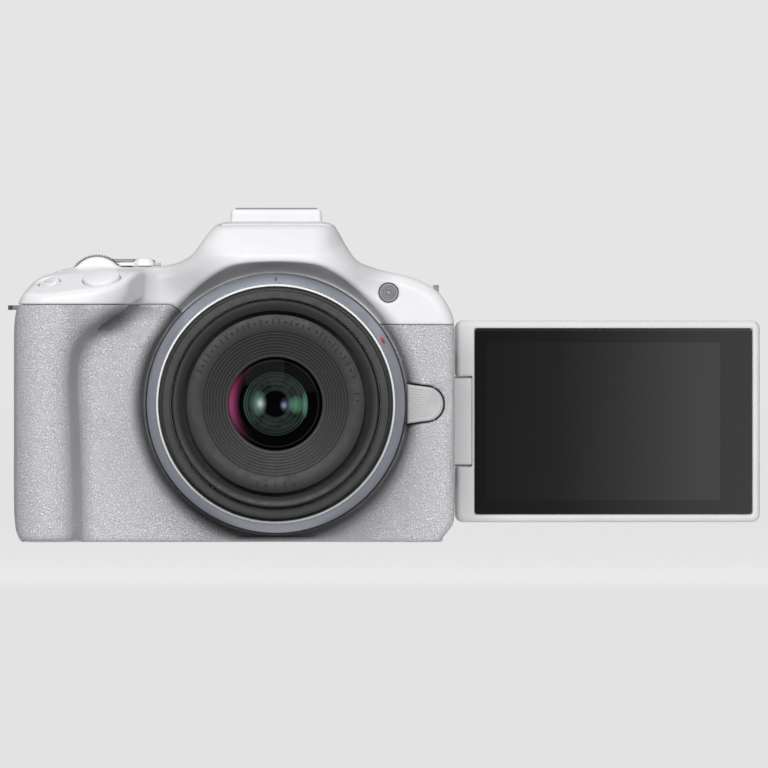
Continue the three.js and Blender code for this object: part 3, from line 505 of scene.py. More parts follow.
def glass_painted_glints(name, centre):
    """Nearly black glass over the lens's inner rings, with painted glows for the rings behind it and painted
    reflections of the lights as the coloured glints of its coatings.
    """
    n = Nodes(name)
    n.set(Roughness=0.06, IOR=1.5, Specular_IOR_Level=0.008, Base_Color=(0.001, 0.001, 0.0012, 1))
    offset = n.node("VectorMath", {0: n.mm, 1: centre}, operation="SUBTRACT").outputs[0]
    split = n.node("SeparateXYZ", {0: offset})
    x, z = split.outputs["X"], split.outputs["Z"]
    r = n.math("MAXIMUM", n.math("SQRT", n.math("ADD", n.math("MULTIPLY", x, x), n.math("MULTIPLY", z, z))), 0.01)
    across = n.math("DIVIDE", n.math("ABSOLUTE", x), r)
    layers = []

    # painted glowing rings for the parts behind the glass: radius, width, colour and how far the lit sides outshine the
    # rest
    for radius, width, colour, sides in (
        (11.3, 0.22, (0.030, 0.031, 0.034, 1), 0.0),
        (8.2, 0.26, (0.030, 0.062, 0.048, 1), 5.0),
        (7.6, 0.35, (0.026, 0.040, 0.034, 1), 2.0),
        (6.6, 0.5, (0.016, 0.026, 0.021, 1), 1.0),
        (5.4, 0.5, (0.014, 0.024, 0.019, 1), 1.0),
        (4.2, 0.4, (0.020, 0.026, 0.026, 1), 1.0),
        (3.6, 0.2, (0.034, 0.038, 0.042, 1), 0.5),
    ):
        away = n.math("DIVIDE", n.math("ABSOLUTE", n.math("SUBTRACT", r, radius)), width)
        ring = n.math("MAXIMUM", n.math("SUBTRACT", 1.0, away), 0.0)
        lit = n.math("ADD", 0.55, n.math("MULTIPLY", n.math("POWER", across, 8.0), sides * 0.5))
        layers.append(n.mix(n.math("MULTIPLY", ring, lit), (0, 0, 0, 1), colour))

    # painted haze of reflections between the rings, broken up as the reflections of the diaphragm are
    haze = n.math("MULTIPLY", n.spread(r, 3.4, 3.9, 0.0, 1.0), n.spread(r, 7.2, 8.0, 1.0, 0.0))
    streaks = n.spread(n.noise(0.45, 3), 0.35, 0.7, 0.3, 1.0)
    layers.append(n.mix(n.math("MULTIPLY", haze, streaks), (0, 0, 0, 1), (0.018, 0.027, 0.023, 1)))

    # painted glints, the reflections of the lights: place, half width, half height, colour, falloff
    for sx, sz, wx, wz, colour, power in (
        (-3.95, 0.05, 1.5, 1.9, (0.40, 0.38, 0.47, 1), 1.5),
        (-4.4, 0.1, 2.2, 3.6, (0.10, 0.20, 0.155, 1), 0.9),
        (2.2, -0.4, 1.1, 1.3, (0.24, 0.24, 0.36, 1), 1.5),
        (2.9, -0.3, 2.0, 2.4, (0.05, 0.055, 0.08, 1), 1.0),
        (5.3, -0.3, 2.0, 2.6, (0.055, 0.185, 0.105, 1), 0.8),
        (7.7, -0.3, 0.9, 3.6, (0.06, 0.17, 0.115, 1), 0.8),
    ):
        dx = n.math("DIVIDE", n.math("SUBTRACT", x, sx), wx)
        dz = n.math("DIVIDE", n.math("SUBTRACT", z, sz), wz)
        d = n.math("SQRT", n.math("ADD", n.math("MULTIPLY", dx, dx), n.math("MULTIPLY", dz, dz)))
        fall = n.math("POWER", n.math("MAXIMUM", n.math("SUBTRACT", 1.0, d), 0.0), power)
        layers.append(n.mix(fall, (0, 0, 0, 1), colour))

    # a painted crescent of magenta reflection inside the left rim
    inner = n.math("SUBTRACT", 1.0, n.math("DIVIDE", n.math("SUBTRACT", 12.4, r), 2.9))
    side = n.math("MAXIMUM", n.math("DIVIDE", n.math("MULTIPLY", n.math("SUBTRACT", x, -0.6), -1.0), r), 0.0)
    crescent = n.math("MULTIPLY", n.math("POWER", n.math("MAXIMUM", inner, 0.0), 1.1), n.math("POWER", side, 7.0))
    layers.append(n.mix(crescent, (0, 0, 0, 1), (0.50, 0.075, 0.23, 1)))

    glow = layers[0]
    for layer in layers[1:]:
        glow = n.node("VectorMath", {0: glow, 1: layer}, operation="ADD").outputs[0]
    # all of this painted light is emitted by the glass itself
    n.link(glow, n.shader.inputs["Emission Color"])
    n.set(Emission_Strength=1.0)
    return n.material


def from_axis(n):
    """Distance from the lens axis, in millimetres."""
    split = n.node("SeparateXYZ", {0: n.mm})
    x, dz = split.outputs["X"], n.math("SUBTRACT", split.outputs["Z"], AXIS_Z)
    return n.math("SQRT", n.math("ADD", n.math("MULTIPLY", x, x), n.math("MULTIPLY", dz, dz)))


def shaded(material, factor_of):
    """The same material, its colour darkened by a factor that varies over the camera."""
    n = Nodes(None, material)
    painted = n.shader.inputs["Base Color"].links[0].from_socket
    n.link(n.mix(factor_of(n), (0.002, 0.002, 0.002, 1), painted), n.shader.inputs["Base Color"])
    return material


def radial_shade_and_tone(name, radius, inside, outside, value, tint, **surface):
    """A moulded surface turned about the lens axis, darkened by one factor inside a radius and another outside: painted
    shade on the barrel's rim and inside the zoom ring, and a darker front band on the inner barrel.
    """

    def factor(n):
        return n.spread(from_axis(n), radius - 0.03, radius + 0.03, inside, outside)

    return shaded(moulded(name, value, tint, **surface), factor)


def painted_flank_shade(n):
    """Painted shade: how much lighter the white cover is than on the two sides of the hump, where it turns away from
    the light.
    """
    split = n.node("SeparateXYZ", {0: n.mm})
    x, z = split.outputs["X"], split.outputs["Z"]
    factor = None
    for at_x, at_z, half_x, half_z, dark in ((-24, 69, 17, 10, 0.68), (23, 71.5, 9, 7, 0.72), (15.5, 80, 6, 8, 0.76)):
        u = n.math("DIVIDE", n.math("SUBTRACT", x, at_x), half_x)
        v = n.math("DIVIDE", n.math("SUBTRACT", z, at_z), half_z)
        away = n.math("SQRT", n.math("ADD", n.math("MULTIPLY", u, u), n.math("MULTIPLY", v, v)))
        lit = n.spread(away, 0.2, 1.0, dark, 1.0)
        factor = lit if factor is None else n.math("MULTIPLY", factor, lit)
    return factor


# the top cover's white, with painted shade on both sides of the hump
TOP_WHITE_PAINTED_SHADE = shaded(moulded("top_satin_painted_shade", 230, (0.985, 0.98, 1.0), roughness=0.5, coat=0.06), painted_flank_shade)

# ---------------------------------------------------------------- the body's outer form

FRONT_OUTLINE = spline(
    [
        (-66.9, 0.0), (-60, 0), (-30, 0), (0, 0), (30, 0), (40, 0.0), (43.0, 0.3), (45.4, 2.9), (46.7, 4.8), (47.1, 8),
        (47.1, 20), (47.1, 40), (47.1, 54), (46.9, 58.7), (45.4, 62.4), (43.3, 65.5), (40.7, 67.6), (37.0, 69.4),
        (32.8, 70.6), (28.2, 71.7), (24.3, 72.9), (21.8, 74.0), (20.0, 75.9), (18.1, 78.9), (16.5, 81.8), (15.0, 84.0),
        (11.9, 85.2), (8, HUMP_TOP), (-8, HUMP_TOP), (-12.3, 85.2), (-15.6, 84.0), (-18.0, 81.4), (-20.1, 78.5),
        (-22.3, 75.8), (-25.3, 74.0), (-29.3, 73.0), (-34, 72.6), (-42, 72.6), (-50.5, 72.5), (-53.7, 72.2),
        (-56.2, 71.6), (-59.4, 70.9), (-61.6, 70.1), (-63.9, 68.6), (-66.3, 65.9), (-67.9, 63.1), (-68.7, 60.4),
        (-69.1, 57), (-69.2, 50), (-69.2, 30), (-69.2, 12), (-69.0, 6), (-68.4, 2.4),
    ],
    4,
)
HUMP_HALF = (-30.0, 27.0)

# The grip's inner side wall, seen from the front: where it starts at the grip's crest and where it meets the front.
CREST_Z = (0, 5, 12, 32, 42, 48, 51.9, 54.3, 56.8, 58.7, 60.2, 62.7, 65.5, 70, 80)
CREST_X = (-54.8, -54.8, -54.6, -55.2, -55.6, -55.2, -54.2, -53.0, -51.0, -48.6, -46.4, -43.6, -41.0, -40.0, -40.0)
FOOT_X = (-50.4, -50.4, -50.6, -51.4, -52.0, -51.6, -50.2, -47.6, -43.0, -38.2, -35.0, -33.8, -33.4, -33.4, -33.4)

SHUTTER_AXIS = Vector((-0.12, -0.445, 1)).normalized()
FUNCTION_AXIS = Vector((-0.42, -0.36, 0.83)).normalized()


def deck_slope(X, Y):
    """Height of the slope that the shutter button stands on."""
    return 66.8 + 0.12 * (X + 46) + 0.445 * (Y - GRIP_FRONT)


def brow(X, Z):
    """How far forward the front stands: level over most of the body, and bulging over the lens."""
    angle = np.degrees(np.arctan2(np.abs(X), np.maximum(Z - AXIS_Z, 1e-3)))
    t = np.clip((angle - 14) / (44 - 14), 0, 1)
    over_lens = 1 - t * t * (3 - 2 * t)
    lean = np.maximum(Z - 75.5, 0)
    return FRONT + (BROW - FRONT) * over_lens + 0.33 * lean + 0.03 * lean * lean


def body_field(X, Y, Z):
    outline = outline_field(X, Z, FRONT_OUTLINE)
    front = brow(X, Z) - Y
    high = np.clip((Z - 68) / 8, 0, 1)
    low = np.clip(Z / 12, 0, 1)
    edge = 1.6 + 1.6 * low + 1.6 * high
    top = (Z - (HUMP_TOP - 0.1 * np.maximum(9 - Y, 0))) / 1.005
    slab = convex(convex(outline, front, edge), Y - BACK, 2.6)
    slab = convex(slab, top, 2.0)

    crest = soft_curve(Z, CREST_Z, CREST_X, 1.3)
    foot = soft_curve(Z, CREST_Z, FOOT_X, 1.3)
    reach = np.clip((Y + 18) / 14, -0.4, 1.6)
    wall = X - (crest + reach * (foot - crest))
    slope_z = np.gradient(np.broadcast_to(crest, Z.shape).ravel(), Z.ravel()).reshape(Z.shape)
    wall = wall / np.sqrt(1 + ((foot - crest) / 14) ** 2 + slope_z**2)
    lean_back = 0.02 * np.maximum(30 - Z, 0)
    nose = GRIP_FRONT + lean_back - Y
    side = LEFT - X
    column = convex(side, nose, 9.2)
    column = convex(column, wall, 4.8)
    column = convex(column, 0.0 - Z, 2.6)
    column = convex(column, outline, 1.2)
    slope = (Z - deck_slope(X, Y)) / 1.1
    column = convex(column, slope, 1.3)
    column = convex(column, Z - 72.0, 1.5)
    column = np.maximum(column, Y - 8)
    lip = rod_field(X, Y, Z, (DIAL["x"], 0, DIAL["z"]), (0, 1, 0), 7.1, 3.2, 0.4)
    hollow = (np.sqrt(((X + 38.5) / 10) ** 2 + ((Y + 5.4) / 4.4) ** 2 + ((Z - 58.6) / 4.2) ** 2) - 1) * 4.2

    eyepiece = box_field(X, Y, Z, (-14.5, 26, 61.4), (14.5, 44, 81.6), 2.2)
    riser = box_field(X, Y, Z, (-12, 11.6, 80), (12, 32.8, 87.95), 0.9)
    thumb = box_field(X, Y, Z, (-67.4, 28, 40.5), (-48, 41, 58.5), 3.2)
    solid = without(np.maximum(joined(slab, column, 2.8), outline), hollow, 2.6)
    solid = joined(solid, convex(lip, -2.8 - Y, 0.8), 0.9)
    solid = joined(solid, eyepiece, 1.6)
    solid = joined(solid, riser, 0.7)
    return joined(solid, thumb, 2.4)


def dish_field(X, Y, Z):
    """The recess round the lens mount: a cone, flattened on top under the brow."""
    r = np.hypot(X, Z - AXIS_Z)
    cone = (r - (34.9 + 0.36 * (1.2 - Y))) / 1.06
    return np.maximum(np.maximum(convex(cone, Z - 74.2, 2.0), 1.7 - Z), Y - 1.2)


def pocket_field(X, Y, Z):
    return box_field(X, Y, Z, (POCKET["x0"], POCKET["y"], POCKET["z0"]), (90, 90, POCKET["z1"]), 1.2)


def seam_height(X, Y):
    """Height of the seam under the top cover."""
    across = np.interp(X, (-27.7, -25.7, -21.5), (SEAM_GRIP, 61.1, SEAM_HINGE))
    return np.where(Y > PARTING, SEAM_GRIP, across)


def release_dish(X, Y, Z):
    """A fingertip's hollow beside the lens-release button."""
    return np.sqrt((X - 42.4) ** 2 + (Y + 15.0) ** 2 + (Z - 36.4) ** 2) - 12.4


def cover_field(X, Y, Z):
    outer = body_field(X, Y, Z)
    inner = outer + WALL
    softness = np.interp(Z, (57.0, 66.0), (2.6, 1.0))
    outer = without(outer, dish_field(X, Y, Z), softness)
    outer = without(outer, release_dish(X, Y, Z), 0.5)
    outer = without(outer, pocket_field(X, Y, Z), 0.5)
    inner = np.maximum(inner, -(dish_field(X, Y, Z) - WALL))
    inner = np.maximum(inner, -(pocket_field(X, Y, Z) - 1.4))
    inner = np.maximum(inner, -(release_dish(X, Y, Z) - WALL))
    return without(outer, inner)


# ---------------------------------------------------------------- covers

RELEASE_CENTRE = (39.66, 36.45)
RELEASE_R = 4.5
RELEASE_ROOT = 34.6


def release_outline(root):
    """A tongue with a round end, widening towards the lens, whose straight end lies at x = root."""
    half = math.radians(84)
    tip = [
        (RELEASE_CENTRE[0] + RELEASE_R * math.cos(a), RELEASE_CENTRE[1] + RELEASE_R * math.sin(a))
        for a in np.linspace(-half, half, 25)
    ]
    spread = 0.14 * (RELEASE_CENTRE[0] - root)
    low, high = RELEASE_CENTRE[1] - RELEASE_R - spread, RELEASE_CENTRE[1] + RELEASE_R + spread
    return np.array([(root, low)] + tip + [(root, high)])


BASE_PLAN = np.array(
    [
        (-66.2, -8), (-64.4, -12.8), (-61, -15.2), (-58, -14.8), (-50, -1.6), (-14, -1.6), (-11, 3.4), (11, 3.4),
        (14, -1.6), (44, -1.4), (44, 36), (-66.2, 36),
    ],
    float,
)
BASE_T = 1.4
DOOR_PLAN = np.array([(-65.8, -6), (-53.8, -6), (-49.8, 0.8), (-43.4, 0.8), (-43.4, 31.4), (-65.8, 31.4)], float)
SOCKET = (0.0, 18.0, 6.0)  # x, y and radius of the tripod bush
MIC = {"y0": 8.0, "y1": 19.5, "z0": 24.0, "z1": 50.0}
PORT = {"y0": 24.0, "y1": 34.5, "z0": 18.0, "z1": 46.0}
FLAP_T = 0.9

# Push buttons: centre of the face, axis outwards, radius, rise above the cover and depth below it.
UP, BACKWARDS = (0, 0, 1), (0, 1, 0)
BUTTONS = {
    "shutter_button": ((-46, -12.6, 69.56), SHUTTER_AXIS, 4.9, 1.2, 4.0),
    "function_button": ((-59.9, -10.4, 68.4), FUNCTION_AXIS, 2.8, 0.4, 3.0),
    "movie_button": ((-54.5, 18, 71.85), UP, 2.6, 0.35, 3.0),
    "iso_button": ((-56, 11, 71.55), UP, 2.3, 0.35, 3.0),
    "info_button": ((-45.5, 37.5, 46.5), BACKWARDS, 2.4, 0.6, 3.0),
    "menu_button": ((-60.5, 37.5, 13.5), BACKWARDS, 2.6, 0.6, 3.0),
    "playback_button": ((-47, 37.5, 13.5), BACKWARDS, 2.6, 0.6, 3.0),
    "ae_lock_button": ((-47, 37.3, 66.8), BACKWARDS, 2.3, 0.6, 3.0),
    "af_point_button": ((-55.5, 37.3, 66.8), BACKWARDS, 2.3, 0.6, 3.0),
}
PAD = (-54.0, 37.5, 30.5)
PAD_R, SET_R = 9.0, 3.9


def button_hole(X, Y, Z, name):
    at, axis, r, rise, deep = BUTTONS[name]
    return rod_field(X, Y, Z, at, axis, r + BUTTON_GAP, deep + 2.4, 6)


def base_hole(X, Y, Z):
    return np.maximum(outline_field(X, Y, BASE_PLAN) - GAP, Z - 3)


def top_openings(X, Y, Z):
    axis_y = (0, 1, 0)
    yield rod_field(X, Y, Z, (DIAL["x"], 0, DIAL["z"]), axis_y, DIAL["r"] + 0.3, -0.42, 6.25)
    yield rod_field(X, Y, Z, (MODE["x"], MODE["y"], 72), UP, 2.7, 8, 8)
    yield box_field(X, Y, Z, (-14.68, -1.28, 79.5), (14.68, 11.5, 92), 0.4)
    yield box_field(X, Y, Z, (-10.95, 13.05, 85.45), (10.95, 32.15, 92), 0.1)
    yield box_field(X, Y, Z, (-9.5, 14.4, 86.35), (9.5, 40, 92), 0.1)
    yield box_field(X, Y, Z, (-11, 20, 65), (11, 48, 78.5), 1.6)
    yield rod_field(X, Y, Z, (LAMP["x"], FRONT, LAMP["z"]), axis_y, LAMP["r"] + 0.25, 6, 5)
    yield rod_field(X, Y, Z, (-14, 40.6, 72), (1, 0, 0), 3.0, 8, 2.6)
    yield box_field(X, Y, Z, (41.35, 9.65, 58.9), (43.15, 20.35, 74), 0.1)
    yield box_field(X, Y, Z, (-72, 9.65, 61.15), (-63.8, 20.35, 62.65), 0.1)
    for name in ("shutter_button", "function_button", "movie_button", "iso_button", "ae_lock_button", "af_point_button"):
        yield button_hole(X, Y, Z, name)


def front_openings(X, Y, Z):
    release = outline_field(X, Z, release_outline(RELEASE_ROOT)) - RELEASE_GAP
    yield np.maximum(np.maximum(release, Y - 2), -12 - Y)
    yield base_hole(X, Y, Z)
    clear = GAP
    yield box_field(
        X, Y, Z, (RIGHT - FLAP_T - clear, MIC["y0"] - clear, MIC["z0"] - clear),
        (RIGHT + 5, MIC["y1"] + clear, MIC["z1"] + clear), 1.0,
    )
    yield box_field(X, Y, Z, (-72, 9.65, 61.15), (-63.8, 20.35, 62.65), 0.1)


def rear_openings(X, Y, Z):
    clear = GAP
    yield base_hole(X, Y, Z)
    yield box_field(
        X, Y, Z, (LEFT - 5, PORT["y0"] - clear, PORT["z0"] - clear),
        (LEFT + FLAP_T + clear, PORT["y1"] + clear, PORT["z1"] + clear), 1.0,
    )
    yield box_field(X, Y, Z, (LEFT - 1, 27, 23), (LEFT + 5, 31.5, 41), 0.6)
    yield box_field(X, Y, Z, (41.75, 27.5, 14.05), (60, 32, 49.55), 0.2)
    yield rod_field(X, Y, Z, PAD, BACKWARDS, PAD_R + BUTTON_GAP, 4, 5)
    for name in ("info_button", "menu_button", "playback_button"):
        yield button_hole(X, Y, Z, name)


def opened(field, holes, r=0.25):
    for hole in holes:
        field = without(field, hole, r)
    return field


def throat(X, Y, Z):
    return rod_field(X, Y, Z, (0, 0, AXIS_Z), (0, 1, 0), 32.3, 14, 8)


def top_field(X, Y, Z):
    field = convex(cover_field(X, Y, Z), seam_height(X, Y) + GAP - Z, 0.12)
    return opened(np.maximum(field, -throat(X, Y, Z)), top_openings(X, Y, Z))


def front_field(X, Y, Z):
    field = convex(cover_field(X, Y, Z), Z - seam_height(X, Y) + GAP, 0.12)
    field = convex(field, Y - PARTING + GAP, 0.2)
    return opened(np.maximum(field, -throat(X, Y, Z)), front_openings(X, Y, Z))


def rear_field(X, Y, Z):
    field = convex(cover_field(X, Y, Z), Z - SEAM_GRIP + GAP, 0.12)
    field = convex(field, PARTING + GAP - Y, 0.2)
    return opened(field, rear_openings(X, Y, Z))


STEP = 0.42
COVERS = (
    ("top_cover", top_field, (LEFT - 2, -21, 55), (RIGHT + 2, 46, 90), TOP_WHITE_PAINTED_SHADE, "white_satin"),
    ("front_cover", front_field, (LEFT - 2, -21, -2), (RIGHT + 2, 24, 65), SKIN, "pale_texture"),
    ("rear_cover", rear_field, (LEFT - 2, 20, -2), (RIGHT + 2, 46, 65), SATIN, "pale_satin"),
)
for node, field, low, high, material, slot in COVERS:
    cover = mesh_field(node + "_form", field, low, high, STEP, material, "camera_body")
    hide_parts(node)


def stands_for(obj, node, slot=None):
    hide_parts(node)
    return obj


# ---------------------------------------------------------------- flash head

def flash_field(X, Y, Z):
    head = convex(body_field(X, Y, Z), box_field(X, Y, Z, (-14.6, -1.2, 79.6), (14.6, 9.8, 92), 0.8), 0.3)
    head = without(head, box_field(X, Y, Z, (-20, -5, 70), (20, -0.3, 82.4), 0.3), 0.2)
    return without(head, box_field(X, Y, Z, (-11.2, 0.4, 79), (11.2, 6.2, 80.5), 0.2), 0.1)


flash = mesh_field("flash_head_form", flash_field, (-16, -3, 78), (16, 11, 87), 0.25, WHITE, "flash")
stands_for(flash, "flash_head", "white_satin")

# ---------------------------------------------------------------- controls


def dome(r, rise, deep, crown=0.25, edge=0.35, hollow=0.0):
    """Profile of a round cap: a stem, a rounded edge and a face that is domed, or hollowed for a fingertip."""
    profile = [(0.02, -deep), (r, -deep)]
    for i in range(7):
        a = math.pi / 2 * i / 6
        profile.append((r - edge + edge * math.cos(a), rise - crown - edge + edge * math.sin(a)))
    for i in range(1, 9):
        t = i / 8
        profile.append(((r - edge) * (1 - t) + 0.02, rise - crown + (crown - hollow) * (1 - (1 - t) ** 2)))
    return profile


CAPS = {
    "shutter_button": (WHITE, "white_satin", 0.35, 0.5),
    "function_button": (WHITE, "white_satin", 0.15, 0.3),
    "movie_button": (WHITE, "white_satin", 0.2, 0.35),
    "iso_button": (WHITE, "white_satin", 0.2, 0.35),
}
for name, (at, axis, r, rise, deep) in BUTTONS.items():
    material, slot, crown, edge = CAPS.get(name, (SATIN, "pale_satin", 0.2, 0.3))
    cap = knob(name + "_cap", at, axis, dome(r, rise, deep, crown, edge), material, name, 72)
    stands_for(cap, name, slot)


def annulus(name, at, axis, r_out, r_in, low, high, edge, material, body, segments=96, ripple=None):
    """A ring with rounded edges about an axis."""
    profile = [
        (r_in, low), (r_out, low), (r_out, high - edge), (r_out - 0.3 * edge, high - 0.3 * edge), (r_out - edge, high),
        (r_in + edge, high), (r_in + 0.3 * edge, high - 0.3 * edge), (r_in, high - edge),
    ]
    u, v, n = basis(axis)
    points = []
    for r, h in profile:
        for i in range(segments):
            a = 2 * math.pi * i / segments
            rr = r + (ripple(i, r, h) if ripple else 0)
            points.append(tuple(Vector(at) + u * (rr * math.cos(a)) + v * (rr * math.sin(a)) + n * h))
    faces = loops_to_faces(len(profile), segments, cyclic=True)
    return sharpen(outward(new_object(name, points, faces, material, body)))


pad = annulus("cross_pad_ring", PAD, BACKWARDS, PAD_R, SET_R + 0.3, -2.5, 0.7, 0.5, SATIN, "cross_pad")
stands_for(pad, "cross_pad", "pale_satin")
set_cap = knob("set_button_cap", PAD, BACKWARDS, dome(SET_R, 0.6, 3.0, 0.1, 0.3), SATIN, "set_button", 72)
stands_for(set_cap, "set_button", "pale_satin")


def knurl(depth, period, edge_low, edge_high):
    """Square-shouldered teeth on a rim, between two heights."""

    def ripple(i, r, h):
        if not edge_low < h < edge_high:
            return 0
        return -depth if i % period >= period / 2 else 0

    return ripple


DIAL_METAL = moulded("dial_silver", 150, (1, 1, 1.02), roughness=0.3, metallic=0.55, grain=0.01)
dial_rim = DIAL["r"]
half = (DIAL["y1"] - DIAL["y0"]) / 2
middle = (DIAL["x"], (DIAL["y0"] + DIAL["y1"]) / 2, DIAL["z"])
main_profile = [
    (0.02, -half - 1.8), (1.4, -half - 1.8), (1.4, -half), (dial_rim - 1.2, -half), (dial_rim - 0.5, -half + 0.15),
    (dial_rim - 0.12, -half + 0.5), (dial_rim, -half + 0.75), (dial_rim, half - 0.75), (dial_rim - 0.12, half - 0.5),
    (dial_rim - 0.5, half - 0.15), (dial_rim - 1.2, half), (1.4, half), (1.4, half + 1.8), (0.02, half + 1.8),
]


def main_knurl(i, r, h):
    return -0.3 if r > dial_rim - 0.6 and i % 4 >= 2 else 0


wheel = knob("main_dial_wheel", middle, (0, 1, 0), main_profile, DIAL_METAL, "main_dial", 66 * 4, main_knurl)
stands_for(wheel, "main_dial", "lens_silver")

m = MODE
MODE_TOP = 1.78  # height of the dial's face above its foot
mode_profile = [
    (0.02, 66 - m["z0"]), (2.5, 66 - m["z0"]), (2.5, 0), (m["r"] - 0.3, 0), (m["r"], 0.25), (m["r"], 1.3),
    (m["r"] - 0.18, 1.5), (m["r"] - 0.75, 1.75), (m["r"] - 1.1, 1.85), (m["r"] - 1.4, MODE_TOP), (0.02, MODE_TOP),
]


def mode_knurl(i, r, h):
    return -0.28 if r > m["r"] - 0.4 and h > 0.1 and i % 6 >= 3 else 0


mode = knob("mode_dial_wheel", (m["x"], m["y"], m["z0"]), UP, mode_profile, DIAL_METAL, "mode_dial", 48 * 6, mode_knurl)
stands_for(mode, "mode_dial", "lens_silver")


def lever_field(X, Y, Z):
    ring = rod_field(X, Y, Z, (m["x"], m["y"], m["z0"]), UP, 9.5, 0, 0.9)
    tab = box_field(X, Y, Z, (-37.6, 9.2, 69.0), (-32.2, 13.4, 75.1), 1.9)
    tab = np.maximum(tab, 72.9 - Z)
    made = joined(convex(ring, 72.9 - Z, 0.1), tab, 0.8)
    return without(made, rod_field(X, Y, Z, (m["x"], m["y"], 70), UP, m["r"] + 0.3, 5, 9), 0.15)


lever = mesh_field("power_lever_form", lever_field, (-51, 8, 72), (-29, 31, 76), 0.22, WHITE, "power_lever")
stands_for(lever, "power_lever", "white_satin")


def release_field(X, Y, Z):
    outline = outline_field(X, Z, release_outline(RELEASE_ROOT))
    depth = -outline_field(X, Z, release_outline(20.0))  # how far in from the round end, whatever the root
    face = FRONT - 1.2 + 0.06 * np.maximum(X - 39.5, 0) ** 2
    ribs = 0.16 * (0.5 + 0.5 * np.cos(depth * 2 * math.pi / 0.62)) * np.clip((depth - 0.75) * 4, 0, 1)
    cap = convex(convex(outline, face + ribs - Y, 0.5), Y - FRONT - 1.8, 0.2)
    return joined(cap, rod_field(X, Y, Z, (40, FRONT, AXIS_Z), (0, 1, 0), 2, -1, 8), 0.2)


RELEASE_SATIN = moulded("release_satin", 184, (0.99, 0.99, 1.0), roughness=0.4)
release = mesh_field("lens_release_cap", release_field, (34, -6.5, 30), (46, 5, 43), 0.13, RELEASE_SATIN, "lens_release")
stands_for(release, "lens_release_button", "pale_satin")

lamp_profile = [(0.02, -3), (LAMP["r"], -3), (LAMP["r"], -0.15), (2.2, 0.0), (2.05, 0.05)]
for r in (1.8, 1.35, 0.9, 0.5):
    lamp_profile += [(r + 0.16, -0.03), (r, -0.45), (r - 0.16, -0.03)]
lamp_profile += [(0.02, 0.0)]
LAMP_PLASTIC = moulded("lamp_lens", 158, (1, 1, 1.03), roughness=0.3, coat=0.4, grain=0.004)
lamp = knob("af_lamp_lens", (LAMP["x"], FRONT, LAMP["z"]), (0, -1, 0), lamp_profile, LAMP_PLASTIC, "camera_body", 72)
stands_for(lamp, "af_lamp", "lamp_lens")

# ---------------------------------------------------------------- lens

barrel_profile = [
    (27.5, -3.1), (32.4, -3.1), (33.1, -3.35), (34.15, -4.6), (34.5, -5.3), (34.5, -8.4), (34.42, -8.9), (34.05, -9.0),
    (34.0, -9.3), (34.05, -9.6), (33.9, -10.4), (32.05, -17.0), (31.9, -17.35), (31.6, -17.5), (31, -17.5), (31, -14),
    (28.2, -14), (28.2, -40.4), (27.5, -40.4),
]
# The barrel's outer rim, beyond radius 34.05, is painted nearly black: painted shade for the dark gap round the lens.
BARREL_RIM_SHADED = radial_shade_and_tone(
    "barrel_silver", 34.05, 1.0, 0.02, 158, (0.9, 0.97, 1.12), roughness=0.38, coat=0.08, metallic=0.3
)
barrel = lathe("lens_barrel_form", barrel_profile, BARREL_RIM_SHADED, "camera_body", 256)
stands_for(barrel, "lens_barrel", "lens_silver")

ZOOM_RIBS = 190
PER_RIB = 4


def zoom_ripple(a, r, y):
    if r < 31 or not -30.9 < y < -21.9:
        return 0
    i = int(round(a / (2 * math.pi) * ZOOM_RIBS * PER_RIB))
    return -0.3 if i % PER_RIB >= 2 else 0


zoom_profile = [
    (28.5, -14.3), (30.7, -14.3), (30.7, -17.8), (31.5, -17.8), (31.7, -18.0), (31.75, -18.3), (31.75, -18.5),
    (31.75, -21.8), (31.75, -22.0), (31.75, -24), (31.7, -28), (31.65, -30.7), (31.6, -30.8), (31.3, -31.2),
    (29.9, -31.2), (29.9, -33),
    (28.5, -33),
]
# The zoom ring is painted nearly black inside radius 30.85: painted shade in the narrow gap round the focus ring.
ZOOM_GAP_SHADED = radial_shade_and_tone(
    "zoom_silver", 30.85, 0.03, 1.0, 160, (0.92, 0.98, 1.1), roughness=0.34, coat=0.15, metallic=0.3
)
zoom = lathe("zoom_ring_form", zoom_profile, ZOOM_GAP_SHADED, "zoom_ring", ZOOM_RIBS * PER_RIB, zoom_ripple)
stands_for(zoom, "zoom_ring", "lens_silver")
trim_profile = [
    (30.85, -31.3), (31.4, -31.3), (31.45, -31.5), (31.45, -32.5), (31.4, -32.7), (31.3, -32.8), (31.0, -32.8),
    (30.9, -32.7), (30.85, -32.5),
]
trim = lathe("zoom_ring_trim", trim_profile, BRIGHT, "zoom_ring", 256)

FOCUS_RIBS = 150


def focus_ripple(a, r, y):
    if r < 29.8 or not -39.9 < y < -34:
        return 0
    i = int(round(a / (2 * math.pi) * FOCUS_RIBS * PER_RIB))
    return -0.25 if i % PER_RIB >= 2 else 0


focus_profile = [
    (28.5, -33.3), (29.8, -33.3), (30, -33.5), (30, -33.8), (30, -34.2), (30, -39.7), (30, -40.1), (29.95, -40.6),
    (29.85, -40.95), (29.6, -41.15), (27.8, -41.2), (27.66, -41.1), (27.6, -40.9), (27.6, -39), (28.5, -39),
]
focus = lathe("focus_ring_form", focus_profile, BLACK, "focus_ring", FOCUS_RIBS * PER_RIB, focus_ripple)
stands_for(focus, "focus_ring", "black_matt")

